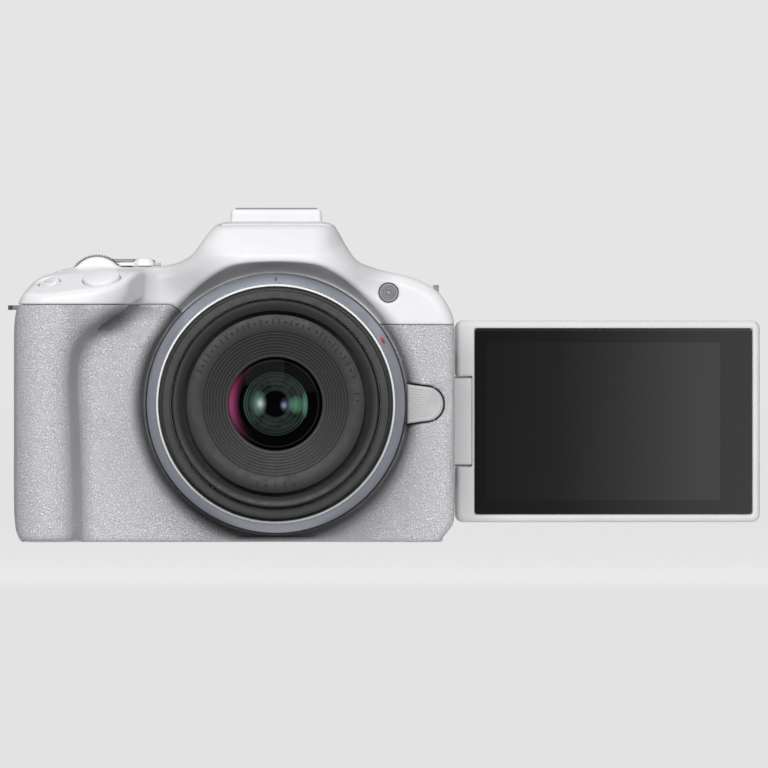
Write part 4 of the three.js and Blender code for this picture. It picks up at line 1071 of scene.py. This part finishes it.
inner_profile = [
    (24.6, -22), (27.2, -22), (27.2, -43.7), (27.1, -44.05), (26.8, -44.3), (26.4, -44.3), (25.3, -43.9),
    (24.9, -43.6),
]
for k in range(4):
    y = -43.4 + 0.45 * k
    inner_profile += [(24.9, y), (24.55, y + 0.22)]
inner_profile += [(24.6, -41.55), (24.6, -37.2), (23.6, -37.2), (23.5, -41.0), (23.3, -41.1), (19.3, -41.1)]
GROOVES = 8
for k in range(GROOVES):
    r = 19.1 - 0.8 * k
    y = -41.0 + 0.27 * k
    inner_profile += [(r, y), (r - 0.12, y + 0.42), (r - 0.36, y + 0.5), (r - 0.42, y + 0.14)]
inner_profile += [(12.7, -38.9), (12.35, -38.7), (12.3, -35.5), (24.6, -35.5)]
INNER_PAINT = radial_shade_and_tone("inner_black", 19.25, 1.0, 0.25, 38, (1, 1, 1.02), roughness=0.55, grain=0.02, vary=0.05)
inner = lathe("inner_barrel_form", inner_profile, INNER_PAINT, "lens_tube", 256)
stands_for(inner, "inner_barrel", "black_matt")

GLASS = glass_painted_glints("glass_painted_glints", (0, 0, AXIS_Z))
dome_profile = [(0.02, 36.2), (12.2, 36.2), (12.2, 37.5)]
for i in range(1, 25):
    r = 12.2 * (1 - i / 24) + 0.02
    dome_profile.append((r, 39.1 - 0.0105 * r * r))
glass = knob("front_element_glass", (0, 0, AXIS_Z), (0, -1, 0), dome_profile, GLASS, "lens_tube", 128)
stands_for(glass, "front_element", "optical_glass")

# ---------------------------------------------------------------- screen

NEAR, FAR_EDGE, HALF_H = 3.1, 83.9, 26.75
NOTCH_U, NOTCH_H = 7.14, 12.0


def to_hinge(points):
    """From the panel's own axes, u outwards, t to the back and h up, to the camera's."""
    c, s = math.cos(OPEN), math.sin(OPEN)
    u, t, h = points[:, 0], points[:, 1], points[:, 2]
    return np.stack([HINGE[0] + u * c - t * s, HINGE[1] + u * s + t * c, HINGE[2] + h], axis=1)


def frame_field(U, T, H):
    slab = box_field(U, T, H, (NEAR, -3.75, -HALF_H), (FAR_EDGE, 4, HALF_H), 2.1)
    edge = box_field(U, np.zeros_like(T), H, (NEAR, -9, -HALF_H), (FAR_EDGE, 9, HALF_H), 2.1)
    plate = convex(convex(edge, -3.75 - T, 0.9), T - 1.0, 0.15)
    plate = np.maximum(plate, slab - 0.4)
    plate = without(plate, box_field(U, T, H, (7.8, -9, -24.7), (81.9, -2.6, 24.7), 0.5), 0.15)
    plate = without(plate, box_field(U, T, H, (9.3, -9, -23.2), (78, -1.5, 23.2), 0.3), 0.1)
    plate = without(plate, box_field(U, T, H, (-9, -9, -NOTCH_H), (NOTCH_U, 9, NOTCH_H), 0.2), 0.12)
    return without(plate, rod_field(U, T, H, (0, 0, 0), (1, 0, 0), 1.6, 0, 16), 0.1)


def back_field(U, T, H):
    edge = box_field(U, np.zeros_like(T), H, (NEAR, -9, -HALF_H), (FAR_EDGE, 9, HALF_H), 2.1)
    plate = convex(convex(edge, 1.1 - T, 0.15), T - 3.75, 1.0)
    recess = box_field(U, T, H, (14, 3.5, -20), (78, 9, 20), 0.2)
    plate = without(plate, recess, 0.2)
    plate = without(plate, box_field(U, T, H, (18, -4, -24), (80, 2.4, 24), 0.4), 0.1)
    plate = without(plate, box_field(U, T, H, (-9, -9, -NOTCH_H), (NOTCH_U, 9, NOTCH_H), 0.2), 0.12)
    return without(plate, rod_field(U, T, H, (0, 0, 0), (1, 0, 0), 1.6, 0, 16), 0.1)


panel_low, panel_high = (2, -5, -28), (85, 5, 28)
PANEL_STEP = 0.3
frame_piece = mesh_field(
    "screen_frame_form", frame_field, panel_low, panel_high, PANEL_STEP, SATIN, "screen_panel", to_hinge
)
stands_for(frame_piece, "screen_frame", "pale_satin")
back_piece = mesh_field("screen_back_form", back_field, panel_low, panel_high, 0.36, SATIN, "screen_panel", to_hinge)
stands_for(back_piece, "screen_back", "pale_satin")


def arm_field(U, T, H):
    block = box_field(U, T, H, (0.5, -3.68, -13), (7.08, 3.1, 13), 0.2)
    pin = convex(rod_field(U, T, H, (0, 0, 0), UP, 2.6, 13, 13), np.abs(H) - 13, 0.3)
    made = joined(block, pin, 0.6)
    made = convex(made, rod_field(U, T, H, (0, 0, 0), (1, 0, 0), 11.95, 4, 8), 0.12)
    made = np.maximum(made, -rod_field(U, T, H, (0, 0, 0), UP, 1.35, 20, 20))
    return np.maximum(made, -rod_field(U, T, H, (2.9, 0, 0), (1, 0, 0), 1.55, 0, 6))


arm = mesh_field("hinge_arm_form", arm_field, (-4, -4.5, -14), (8, 4.5, 14), 0.22, SATIN, "screen_arm", to_hinge)
stands_for(arm, "hinge_arm", "pale_satin")


DISPLAY = {"x": 86.65, "half_x": 31.05, "half_z": 20.9}


def screen_glass_material():
    """Black glass over a display that is off, brighter on one side where it reflects the studio."""
    n = Nodes("screen_black")
    split = n.node("SeparateXYZ", {0: n.mm})
    x, z = split.outputs["X"], split.outputs["Z"]
    dx = n.math("SUBTRACT", n.math("ABSOLUTE", n.math("SUBTRACT", x, DISPLAY["x"])), DISPLAY["half_x"])
    dz = n.math("SUBTRACT", n.math("ABSOLUTE", n.math("SUBTRACT", z, HINGE[2])), DISPLAY["half_z"])
    inside = n.spread(n.math("MAXIMUM", dx, dz), -0.08, 0.08, 1.0, 0.0)
    shine = n.node("ValToRGB")
    n.link(n.spread(x, 52.0, 126.0, 0.0, 1.0), shine.inputs["Fac"])
    ramp = shine.color_ramp.elements
    for position, value in ((0.0, 19), (0.3, 28), (0.55, 45), (0.8, 60), (1.0, 64)):
        stop = ramp.new(position) if position not in (0.0, 1.0) else ramp[0 if position == 0.0 else -1]
        stop.color = grey(value)
    brighter = n.node("Mix", data_type="RGBA", blend_type="MULTIPLY")
    brighter.inputs["Factor"].default_value = 1.0
    n.link(shine.outputs["Color"], brighter.inputs[6])
    n.link(n.mix(inside, (1, 1, 1, 1), (1.38, 1.38, 1.4, 1)), brighter.inputs[7])
    n.link(brighter.outputs[2], n.shader.inputs["Emission Color"])
    smear = n.noise(0.08, 3)
    n.link(n.spread(smear, 0.3, 0.7, 0.05, 0.1), n.shader.inputs["Roughness"])
    n.set(Base_Color=(0.002, 0.002, 0.002, 1), Emission_Strength=0.85, Specular_IOR_Level=0.1)
    return n.material


GLASS_PANEL = screen_glass_material()


def glass_field(U, T, H):
    edge = box_field(U, np.zeros_like(T), H, (7.9, -9, -24.6), (81.8, 9, 24.6), 0.8)
    return convex(convex(edge, -3.65 - T, 0.2), T + 2.7, 0.1)


pane = mesh_field(
    "screen_glass_pane", glass_field, (7, -4.5, -25.5), (83, -2, 25.5), 0.3, GLASS_PANEL, "screen_panel", to_hinge
)
stands_for(pane, "screen_glass", "screen_glass")

# ---------------------------------------------------------------- viewfinder and flaps


def eyecup_field(X, Y, Z):
    outer = box_field(X, np.zeros_like(Y), Z, (-17, -9, 61), (17, 9, 82.4), 5)
    cup = convex(convex(outer, Y - 50, 1.6), 44.2 - Y, 0.3)
    throat_gap = box_field(X, np.zeros_like(Y), Z, (-12, -9, 64.6), (12, 9, 78.8), 3.4) - 0.25 * np.maximum(Y - 46.5, 0)
    return without(cup, throat_gap, 0.6)


cup = mesh_field("eyecup_form", eyecup_field, (-18, 43, 60), (18, 51, 84), 0.35, RUBBER, "camera_body")
stands_for(cup, "eyecup", "black_rubber")


def flap_field(near, far, box):
    """A side flap: a plate with a soft outer edge."""

    def field(X, Y, Z):
        edge = box_field(np.zeros_like(X), Y, Z, (-9, box["y0"], box["z0"]), (9, box["y1"], box["z1"]), 1.0)
        return convex(convex(edge, near - X, 0.25), X - far, 0.25)

    return field


mic = mesh_field(
    "mic_door_flap", flap_field(RIGHT - FLAP_T, RIGHT - 0.05, MIC), (45, 7, 23), (48, 21, 51), 0.25, FLAP, "mic_door"
)
stands_for(mic, "mic_door", "grey_rubber")
port = mesh_field(
    "port_door_flap", flap_field(LEFT + 0.05, LEFT + FLAP_T, PORT), (-70, 23, 17), (-67, 36, 47), 0.25, FLAP, "port_door"
)
stands_for(port, "port_door", "grey_rubber")

WINDOW = moulded("flash_window", 205, (1, 1, 0.98), roughness=0.12, coat=1.0)
stack_path = [(0.3, 79.65), (0.0, 79.8), (0.0, 80.35), (0.15, 80.4)]


def window_place(point):
    x, depth, y = point
    return (x, y, depth)


window = tray("flash_window_pane", (-11, 11, 0.5, 6.1), 0.6, stack_path, WINDOW, "flash", window_place)
stands_for(window, "flash_window", "optical_glass")

# ---------------------------------------------------------------- underside


def base_field(X, Y, Z):
    plate = outline_field(X, Y, BASE_PLAN)
    plate = convex(convex(plate, -Z, 0.35), Z - BASE_T, 0.1)
    door = np.maximum(outline_field(X, Y, DOOR_PLAN) - 0.3, Z - 9)
    plate = without(plate, door, 0.1)
    plate = without(plate, rod_field(X, Y, Z, (SOCKET[0], SOCKET[1], 0), UP, SOCKET[2] + 0.15, 3, 4), 0.1)
    panel = box_field(X, Y, Z, (14, 8, -2), (40, 28, 0.35), 0.3)
    return without(plate, panel, 0.1)


base = mesh_field("base_plate_form", base_field, (-68, -17, -1), (46, 38, 2.4), 0.35, SATIN, "camera_body")
stands_for(base, "base_plate", "pale_satin")

# ---------------------------------------------------------------- small fittings and markings


def merged(name, shapes, material, body, sharp=40):
    """One piece made of many small shapes, each a list of points and a list of faces."""
    points, faces = [], []
    for shape_points, shape_faces in shapes:
        start = len(points)
        points += [tuple(p) for p in shape_points]
        faces += [tuple(start + i for i in f) for f in shape_faces]
    obj = sharpen(outward(new_object(name, points, faces, material, body)), sharp)
    return obj


def turned_shape(at, axis, profile, segments=24):
    u, v, n = basis(axis)
    points = []
    for r, h in profile:
        for i in range(segments):
            a = 2 * math.pi * i / segments
            points.append(Vector(at) + u * (r * math.cos(a)) + v * (r * math.sin(a)) + n * h)
    return points, loops_to_faces(len(profile), segments)


def prism_shape(at, across, along, up, outline, low, high):
    """An outline drawn on the directions across and along, raised from low to high."""
    at, across, along, up = Vector(at), Vector(across), Vector(along), Vector(up)
    points = [at + across * a + along * b + up * h for h in (low, high) for a, b in outline]
    return points, loops_to_faces(2, len(outline))


def cross_outline(arm, half):
    return [
        (half, half), (half, arm), (-half, arm), (-half, half), (-arm, half), (-arm, -half), (-half, -half), (-half, -arm),
        (half, -arm), (half, -half), (arm, -half), (arm, half),
    ]


def screw_shape(at, axis, r=1.5):
    """A countersunk screw head, with a black cross of painted shade set in its face for the cross recess."""
    u, v, n = basis(axis)
    head = turned_shape(at, axis, [(0.02, -0.9), (r * 0.7, -0.9), (r, -0.2), (r, -0.12), (r - 0.15, -0.05), (0.02, -0.02)])
    cross = prism_shape(at, u, v, n, cross_outline(r * 0.55, r * 0.13), -0.4, 0.0)
    return head, cross


heads, crosses = [], []
for at, axis in (
    ((-38, 3, 0.02), (0, 0, -1)), ((-38, 32, 0.02), (0, 0, -1)), ((41, 3, 0.02), (0, 0, -1)),
    ((41, 32, 0.02), (0, 0, -1)), ((RIGHT, 24, 12), (1, 0, 0)), ((RIGHT, 24, 54), (1, 0, 0)),
    ((LEFT, 16, 9), (-1, 0, 0)), ((LEFT, 30, 54), (-1, 0, 0)),
):
    head, cross = screw_shape(at, axis)
    heads.append(head)
    crosses.append(cross)
merged("case_screws", heads, STEEL, "camera_body")
# the black crosses are painted shade where each recess would be
merged("case_screw_recess_shade", crosses, DEEP, "camera_body")


def glyph(text, size, depth):
    """A figure as points and faces, lying in x and y and raised along z, centred on the origin."""
    curve = bpy.data.curves.new("glyph", "FONT")
    curve.body = text
    curve.size = size
    curve.extrude = depth / 2
    curve.resolution_u = 4
    curve.align_x = "CENTER"
    curve.align_y = "CENTER"
    holder = bpy.data.objects.new("glyph", curve)
    bpy.context.scene.collection.objects.link(holder)
    bpy.context.view_layer.update()
    mesh = bpy.data.meshes.new_from_object(holder.evaluated_get(bpy.context.evaluated_depsgraph_get()))
    bpy.data.objects.remove(holder)
    bpy.data.curves.remove(curve)
    welded = bmesh.new()
    welded.from_mesh(mesh)
    bmesh.ops.remove_doubles(welded, verts=welded.verts, dist=1e-4)
    welded.to_mesh(mesh)
    welded.free()
    points = [tuple(v.co) for v in mesh.vertices]
    faces = [tuple(f.vertices) for f in mesh.polygons]
    bpy.data.meshes.remove(mesh)
    return points, faces


def placed(shape, place):
    points, faces = shape
    return [place(*p) for p in points], faces


def round_lens(angle, radius, y):
    """Places a figure on a ring about the lens axis, upright when seen from above with the lens pointing away."""

    def place(a, b, h):
        turn = angle - a / radius
        rr = radius + h
        return (rr * math.cos(turn), y - b, AXIS_Z + rr * math.sin(turn))

    return place


# Focal lengths on the zoom ring, with a tick for each, and the line on the barrel that they are read against.
TOP_ANGLE = math.pi / 2
scale_shapes = []
for figure, degrees in (("18", 0), ("24", 22), ("35", 44), ("45", 62)):
    angle = TOP_ANGLE + math.radians(degrees)
    scale_shapes.append(placed(glyph(figure, 2.5, 0.1), round_lens(angle, 31.75, -20.4)))
    scale_shapes.append(placed(prism_shape((0, 0, 0), (1, 0, 0), (0, 1, 0), (0, 0, 1),
        [(-0.15, -0.4), (0.15, -0.4), (0.15, 0.4), (-0.15, 0.4)], -0.05, 0.05), round_lens(angle, 31.75, -18.9)))
merged("zoom_scale", scale_shapes, DARK_MARK, "zoom_ring")


def on_cone(angle, along, lift=0.0):
    """A point on the barrel's cone, some way along it from its front, with the cone's outward direction."""
    front, back = (32.05, -17.0), (33.9, -10.4)
    t = along / math.dist(front, back)
    r = front[0] + (back[0] - front[0]) * t
    y = front[1] + (back[1] - front[1]) * t
    slope = math.atan2(back[0] - front[0], back[1] - front[1])
    out = Vector((math.cos(angle) * math.cos(slope), -math.sin(slope), math.sin(angle) * math.cos(slope)))
    return Vector((r * math.cos(angle), y, AXIS_Z + r * math.sin(angle))) + out * lift, out


at, out = on_cone(TOP_ANGLE, 2.6)
line = prism_shape(at, (1, 0, 0), Vector((1, 0, 0)).cross(out), out, [(-0.2, -1.6), (0.2, -1.6), (0.2, 1.6), (-0.2, 1.6)], -0.1, 0.06)
merged("barrel_index", [line], DARK_MARK, "camera_body")
at, out = on_cone(math.radians(30.6), 2.4)
dot = turned_shape(at, out, [(0.02, -0.3), (1.0, -0.3), (1.0, 0.16), (0.8, 0.3), (0.02, 0.34)], 32)
merged("mount_index_dot", [dot], RED, "camera_body")

# Ticks and dots printed round the front of the lens, in groups over the top and a short group below.
band = []
BAND_Y = -41.13
GROUPS = ((157, 136, "tdttdt"), (131, 113, "ttdtt"), (109, 66, "tdtdttdtdtd"), (60, 34, "dttdttdt"), (29, 19, "tdt"),
          (7, 2, "td"), (283, 257, "dttdt"))
for start, end, marks in GROUPS:
    for k, kind in enumerate(marks):
        angle = math.radians(start + (end - start) * k / (len(marks) - 1))
        radial = Vector((math.cos(angle), 0, math.sin(angle)))
        side = Vector((-math.sin(angle), 0, math.cos(angle)))
        at = Vector((0, BAND_Y, AXIS_Z)) + radial * 21.6
        if kind == "t":
            outline = [(-0.16, -0.75), (0.16, -0.75), (0.16, 0.75), (-0.16, 0.75)]
            band.append(prism_shape(at, side, radial, (0, -1, 0), outline, -0.1, 0.06))
        else:
            band.append(turned_shape(at, (0, -1, 0), [(0.02, -0.1), (0.34, -0.1), (0.34, 0.04), (0.28, 0.07), (0.02, 0.07)], 16))
merged("front_band_marks", band, DEEP, "lens_tube")

# Figures and symbols on the mode dial.
symbols = []
square = [(-0.6, -0.6), (0.6, -0.6), (0.6, 0.6), (-0.6, 0.6)]
triangle = [(-0.75, -0.6), (0.75, -0.6), (0, 0.8)]
for k in range(10):
    angle = math.radians(36 * k + 50)
    out = Vector((math.cos(angle), math.sin(angle), 0))
    side = Vector((-math.sin(angle), math.cos(angle), 0))
    at = Vector((MODE["x"], MODE["y"], MODE["z0"] + MODE_TOP)) + out * 5.3
    if k < 4:
        turn = Matrix((side * -1, out, Vector((0, 0, 1)))).transposed()
        symbols.append(placed(glyph(str(k + 1), 2.4, 0.12), lambda a, b, h, at=at, turn=turn: at + turn @ Vector((a, b, h))))
    elif k % 3 == 1:
        symbols.append(turned_shape(at, (0, 0, 1), [(0.02, -0.1), (0.7, -0.1), (0.7, 0.06), (0.02, 0.06)], 20))
    else:
        symbols.append(prism_shape(at, side, out, (0, 0, 1), square if k % 2 else triangle, -0.1, 0.06))
merged("mode_dial_marks", symbols, DARK_MARK, "mode_dial")

# Dots on the function button, the movie button's red spot, and small symbols beside the rear buttons.
at, axis, r, rise, deep = BUTTONS["function_button"]
u, v, n = basis(axis)
face = Vector(at) + n * (rise - 0.04)
dots = []
for k in (-1, 0, 1):
    spot = face + u.normalized() * 1.15 * k
    dots.append(turned_shape(spot, n, [(0.02, -0.1), (0.2, -0.1), (0.2, 0.05), (0.02, 0.06)], 16))
merged("function_button_dots", dots, MARK, "function_button")
at, axis, r, rise, deep = BUTTONS["movie_button"]
spot = turned_shape(Vector(at) + Vector(axis) * rise, axis, [(0.02, -0.4), (0.8, -0.4), (0.8, 0.0), (0.65, 0.05), (0.02, 0.06)], 24)
merged("movie_button_dot", [spot], RED, "movie_button")


def rear_mark(x, z, outline, y=BACK):
    return prism_shape((x, y, z), (-1, 0, 0), (0, 0, 1), (0, 1, 0), outline, -0.2, 0.06)


bars = [(-1.0, -0.18), (1.0, -0.18), (1.0, 0.18), (-1.0, 0.18)]
rear_marks = [
    rear_mark(-47, 18.0, [(-0.8, -0.9), (0.9, 0), (-0.8, 0.9)]),
    rear_mark(-60.5, 17.2, bars), rear_mark(-60.5, 18.0, bars), rear_mark(-60.5, 18.8, bars),
    rear_mark(-45.5, 50.6, [(-0.2, -0.9), (0.2, -0.9), (0.2, 0.9), (-0.2, 0.9)]),
]
merged("rear_cover_marks", rear_marks, MARK, "camera_body")
pad_marks = []
for degrees in (0, 90, 180, 270):
    a = math.radians(degrees)
    out, side = Vector((math.cos(a), 0, math.sin(a))), Vector((-math.sin(a), 0, math.cos(a)))
    at = Vector(PAD) + out * 6.7 + Vector((0, 0.7, 0))
    pad_marks.append(prism_shape(at, side, out, (0, 1, 0), [(-0.7, -0.45), (0.7, -0.45), (0, 0.6)], -0.2, 0.06))
merged("cross_pad_marks", pad_marks, MARK, "cross_pad")
lamp_dome = turned_shape((-63.5, BACK, 21.5), BACKWARDS, [(0.02, -0.3), (0.9, -0.3), (0.9, 0.1), (0.6, 0.3), (0.02, 0.38)], 24)
merged("access_lamp", [lamp_dome], RED, "camera_body")

# Springs in the shoe and its contact pins; ribs for the door latch are laid out but never made into a piece.
ribs = [
    prism_shape((-60.6, 8.6 + 1.1 * k, 0.05), (1, 0, 0), (0, 1, 0), (0, 0, -1),
                [(-1.7, -0.22), (1.7, -0.22), (1.7, 0.22), (-1.7, 0.22)], -0.1, 0.0)
    for k in range(8)
]
springs = []
for sign in (-1, 1):
    x = sign * 7.9
    strip = []
    for k in range(9):
        t = k / 8
        strip.append((18 + 11 * t, 86.5 + 0.75 * math.sin(math.pi * t)))
    outline = strip + [(y, z + 0.12) for y, z in reversed(strip)]
    springs.append(prism_shape((x, 0, 0), (0, 1, 0), (0, 0, 1), (1, 0, 0), outline, -0.9, 0.9))
merged("shoe_springs", springs, STEEL, "camera_body")
pins = [turned_shape((dx, y, 86.7), UP, [(0.02, -0.3), (0.75, -0.3), (0.75, 0.12), (0.6, 0.2), (0.02, 0.22)], 20)
        for dx, y in ((0, 24.5), (-2.7, 20.5), (2.7, 20.5), (-2.7, 17.5), (2.7, 17.5))]
merged("shoe_contact_pins", pins, STEEL, "camera_body")

# ---------------------------------------------------------------- nodes that stay as they are

LENS_GLASS = rubbed_metal("dark_glass", 40, (0.8, 0.85, 1.1), roughness=0.08)
STAYING = {
    "battery_door": (SATIN, 0.15), "battery_door_latch": (SATIN, 0.12),
    "strap_lug_grip": (DARK_STEEL, 0.15), "strap_lug_hinge": (DARK_STEEL, 0.15), "tripod_socket": (STEEL, 0.15),
    "hot_shoe": (DARK_STEEL, 0.1), "shoe_contacts": (DEEP, 0.05), "lens_lock_pin": (STEEL, 0.1),
    "diopter_dial": (BLACK, 0.25), "eyepiece_lens": (LENS_GLASS, 0.3), "viewfinder_unit": (DEEP, 0.1),
    "mount_ring": (STEEL, 0.1), "mount_frame": (CAST, 0.2), "shutter_unit": (BLACK, 0.1), "shutter_curtain": (DEEP, 0.05),
    "sensor_module": (BOARD, 0.1), "main_board": (BOARD, 0.1), "battery_box": (BLACK, 0.1), "battery": (BLACK, 0.3),
    "memory_card": (BLACK, 0.15), "lens_bayonet": (CAST, 0.15), "iris_unit": (DEEP, 0.1), "hinge_bracket": (STEEL, 0.15),
    "swing_pin": (STEEL, 0.1), "tilt_shaft": (STEEL, 0.1), "display_module": (DEEP, 0.1),
}
for node, (material, width) in STAYING.items():
    paint(node, material, width)

# ---------------------------------------------------------------- studio

BACKDROP = 0.784  # linear value of the pale backdrop


def area_light(name, at, towards, size, power):
    data = bpy.data.lights.new(name, "AREA")
    data.shape = "RECTANGLE"
    data.size, data.size_y = size
    data.energy = power
    obj = bpy.data.objects.new(name, data)
    bpy.context.scene.collection.objects.link(obj)
    obj.location = at
    obj.rotation_euler = (Vector(towards) - Vector(at)).to_track_quat("-Z", "Y").to_euler()
    return obj


def build_studio():
    scene = bpy.context.scene
    scene.view_settings.view_transform = "Standard"
    cam_data = bpy.data.cameras.new("camera_view")
    cam = bpy.data.objects.new("camera_view", cam_data)
    scene.collection.objects.link(cam)
    cam.location = (0.0285, -8.0, 0.0417)
    cam.rotation_euler = (math.radians(90), 0, 0)
    cam_data.sensor_width = 36
    cam_data.lens = 1420
    cam_data.clip_end = 50
    scene.camera = cam

    floor_mesh = bpy.data.meshes.new("floor")
    reach = 60
    corners = [(-reach, -reach, 0), (reach, -reach, 0), (reach, reach, 0), (-reach, reach, 0)]
    floor_mesh.from_pydata(corners, [], [(0, 1, 2, 3)])
    material = bpy.data.materials.new("floor_paper")
    material.use_nodes = True
    tree = material.node_tree
    shader = tree.nodes["Principled BSDF"]
    shader.inputs["Base Color"].default_value = (0.02, 0.02, 0.02, 1)
    shader.inputs["Roughness"].default_value = 1.0
    shader.inputs["Specular IOR Level"].default_value = 0.0
    shader.inputs["Emission Color"].default_value = (1, 1, 1, 1)
    sight = tree.nodes.new("ShaderNodeLightPath")
    glow = tree.nodes.new("ShaderNodeMapRange")
    glow.inputs["To Min"].default_value = 0.62
    glow.inputs["To Max"].default_value = 0.765
    tree.links.new(sight.outputs["Is Camera Ray"], glow.inputs["Value"])
    tree.links.new(glow.outputs["Result"], shader.inputs["Emission Strength"])
    floor_mesh.materials.append(material)
    floor = bpy.data.objects.new("floor", floor_mesh)
    floor.location.z = -0.0004
    scene.collection.objects.link(floor)

    world = bpy.data.worlds.new("studio")
    scene.world = world
    world.use_nodes = True
    tree = world.node_tree
    ambient = tree.nodes["Background"]
    ambient.inputs["Color"].default_value = (1, 1, 1.02, 1)
    ambient.inputs["Strength"].default_value = 0.18
    seen = tree.nodes.new("ShaderNodeBackground")
    seen.inputs["Color"].default_value = (BACKDROP, BACKDROP, BACKDROP, 1)
    path = tree.nodes.new("ShaderNodeLightPath")
    mix = tree.nodes.new("ShaderNodeMixShader")
    tree.links.new(path.outputs["Is Camera Ray"], mix.inputs[0])
    tree.links.new(ambient.outputs[0], mix.inputs[1])
    tree.links.new(seen.outputs[0], mix.inputs[2])
    tree.links.new(mix.outputs[0], tree.nodes["World Output"].inputs[0])

    middle = (0.0, 0.0, 0.045)
    area_light("key", (-0.2, -1.55, 0.66), middle, (0.7, 0.6), 18.5)
    area_light("front", (0.42, -1.6, 0.5), middle, (0.6, 0.5), 7.0)
    area_light("top", (-0.1, 0.2, 0.9), middle, (0.7, 0.4), 2.6)


build_studio()
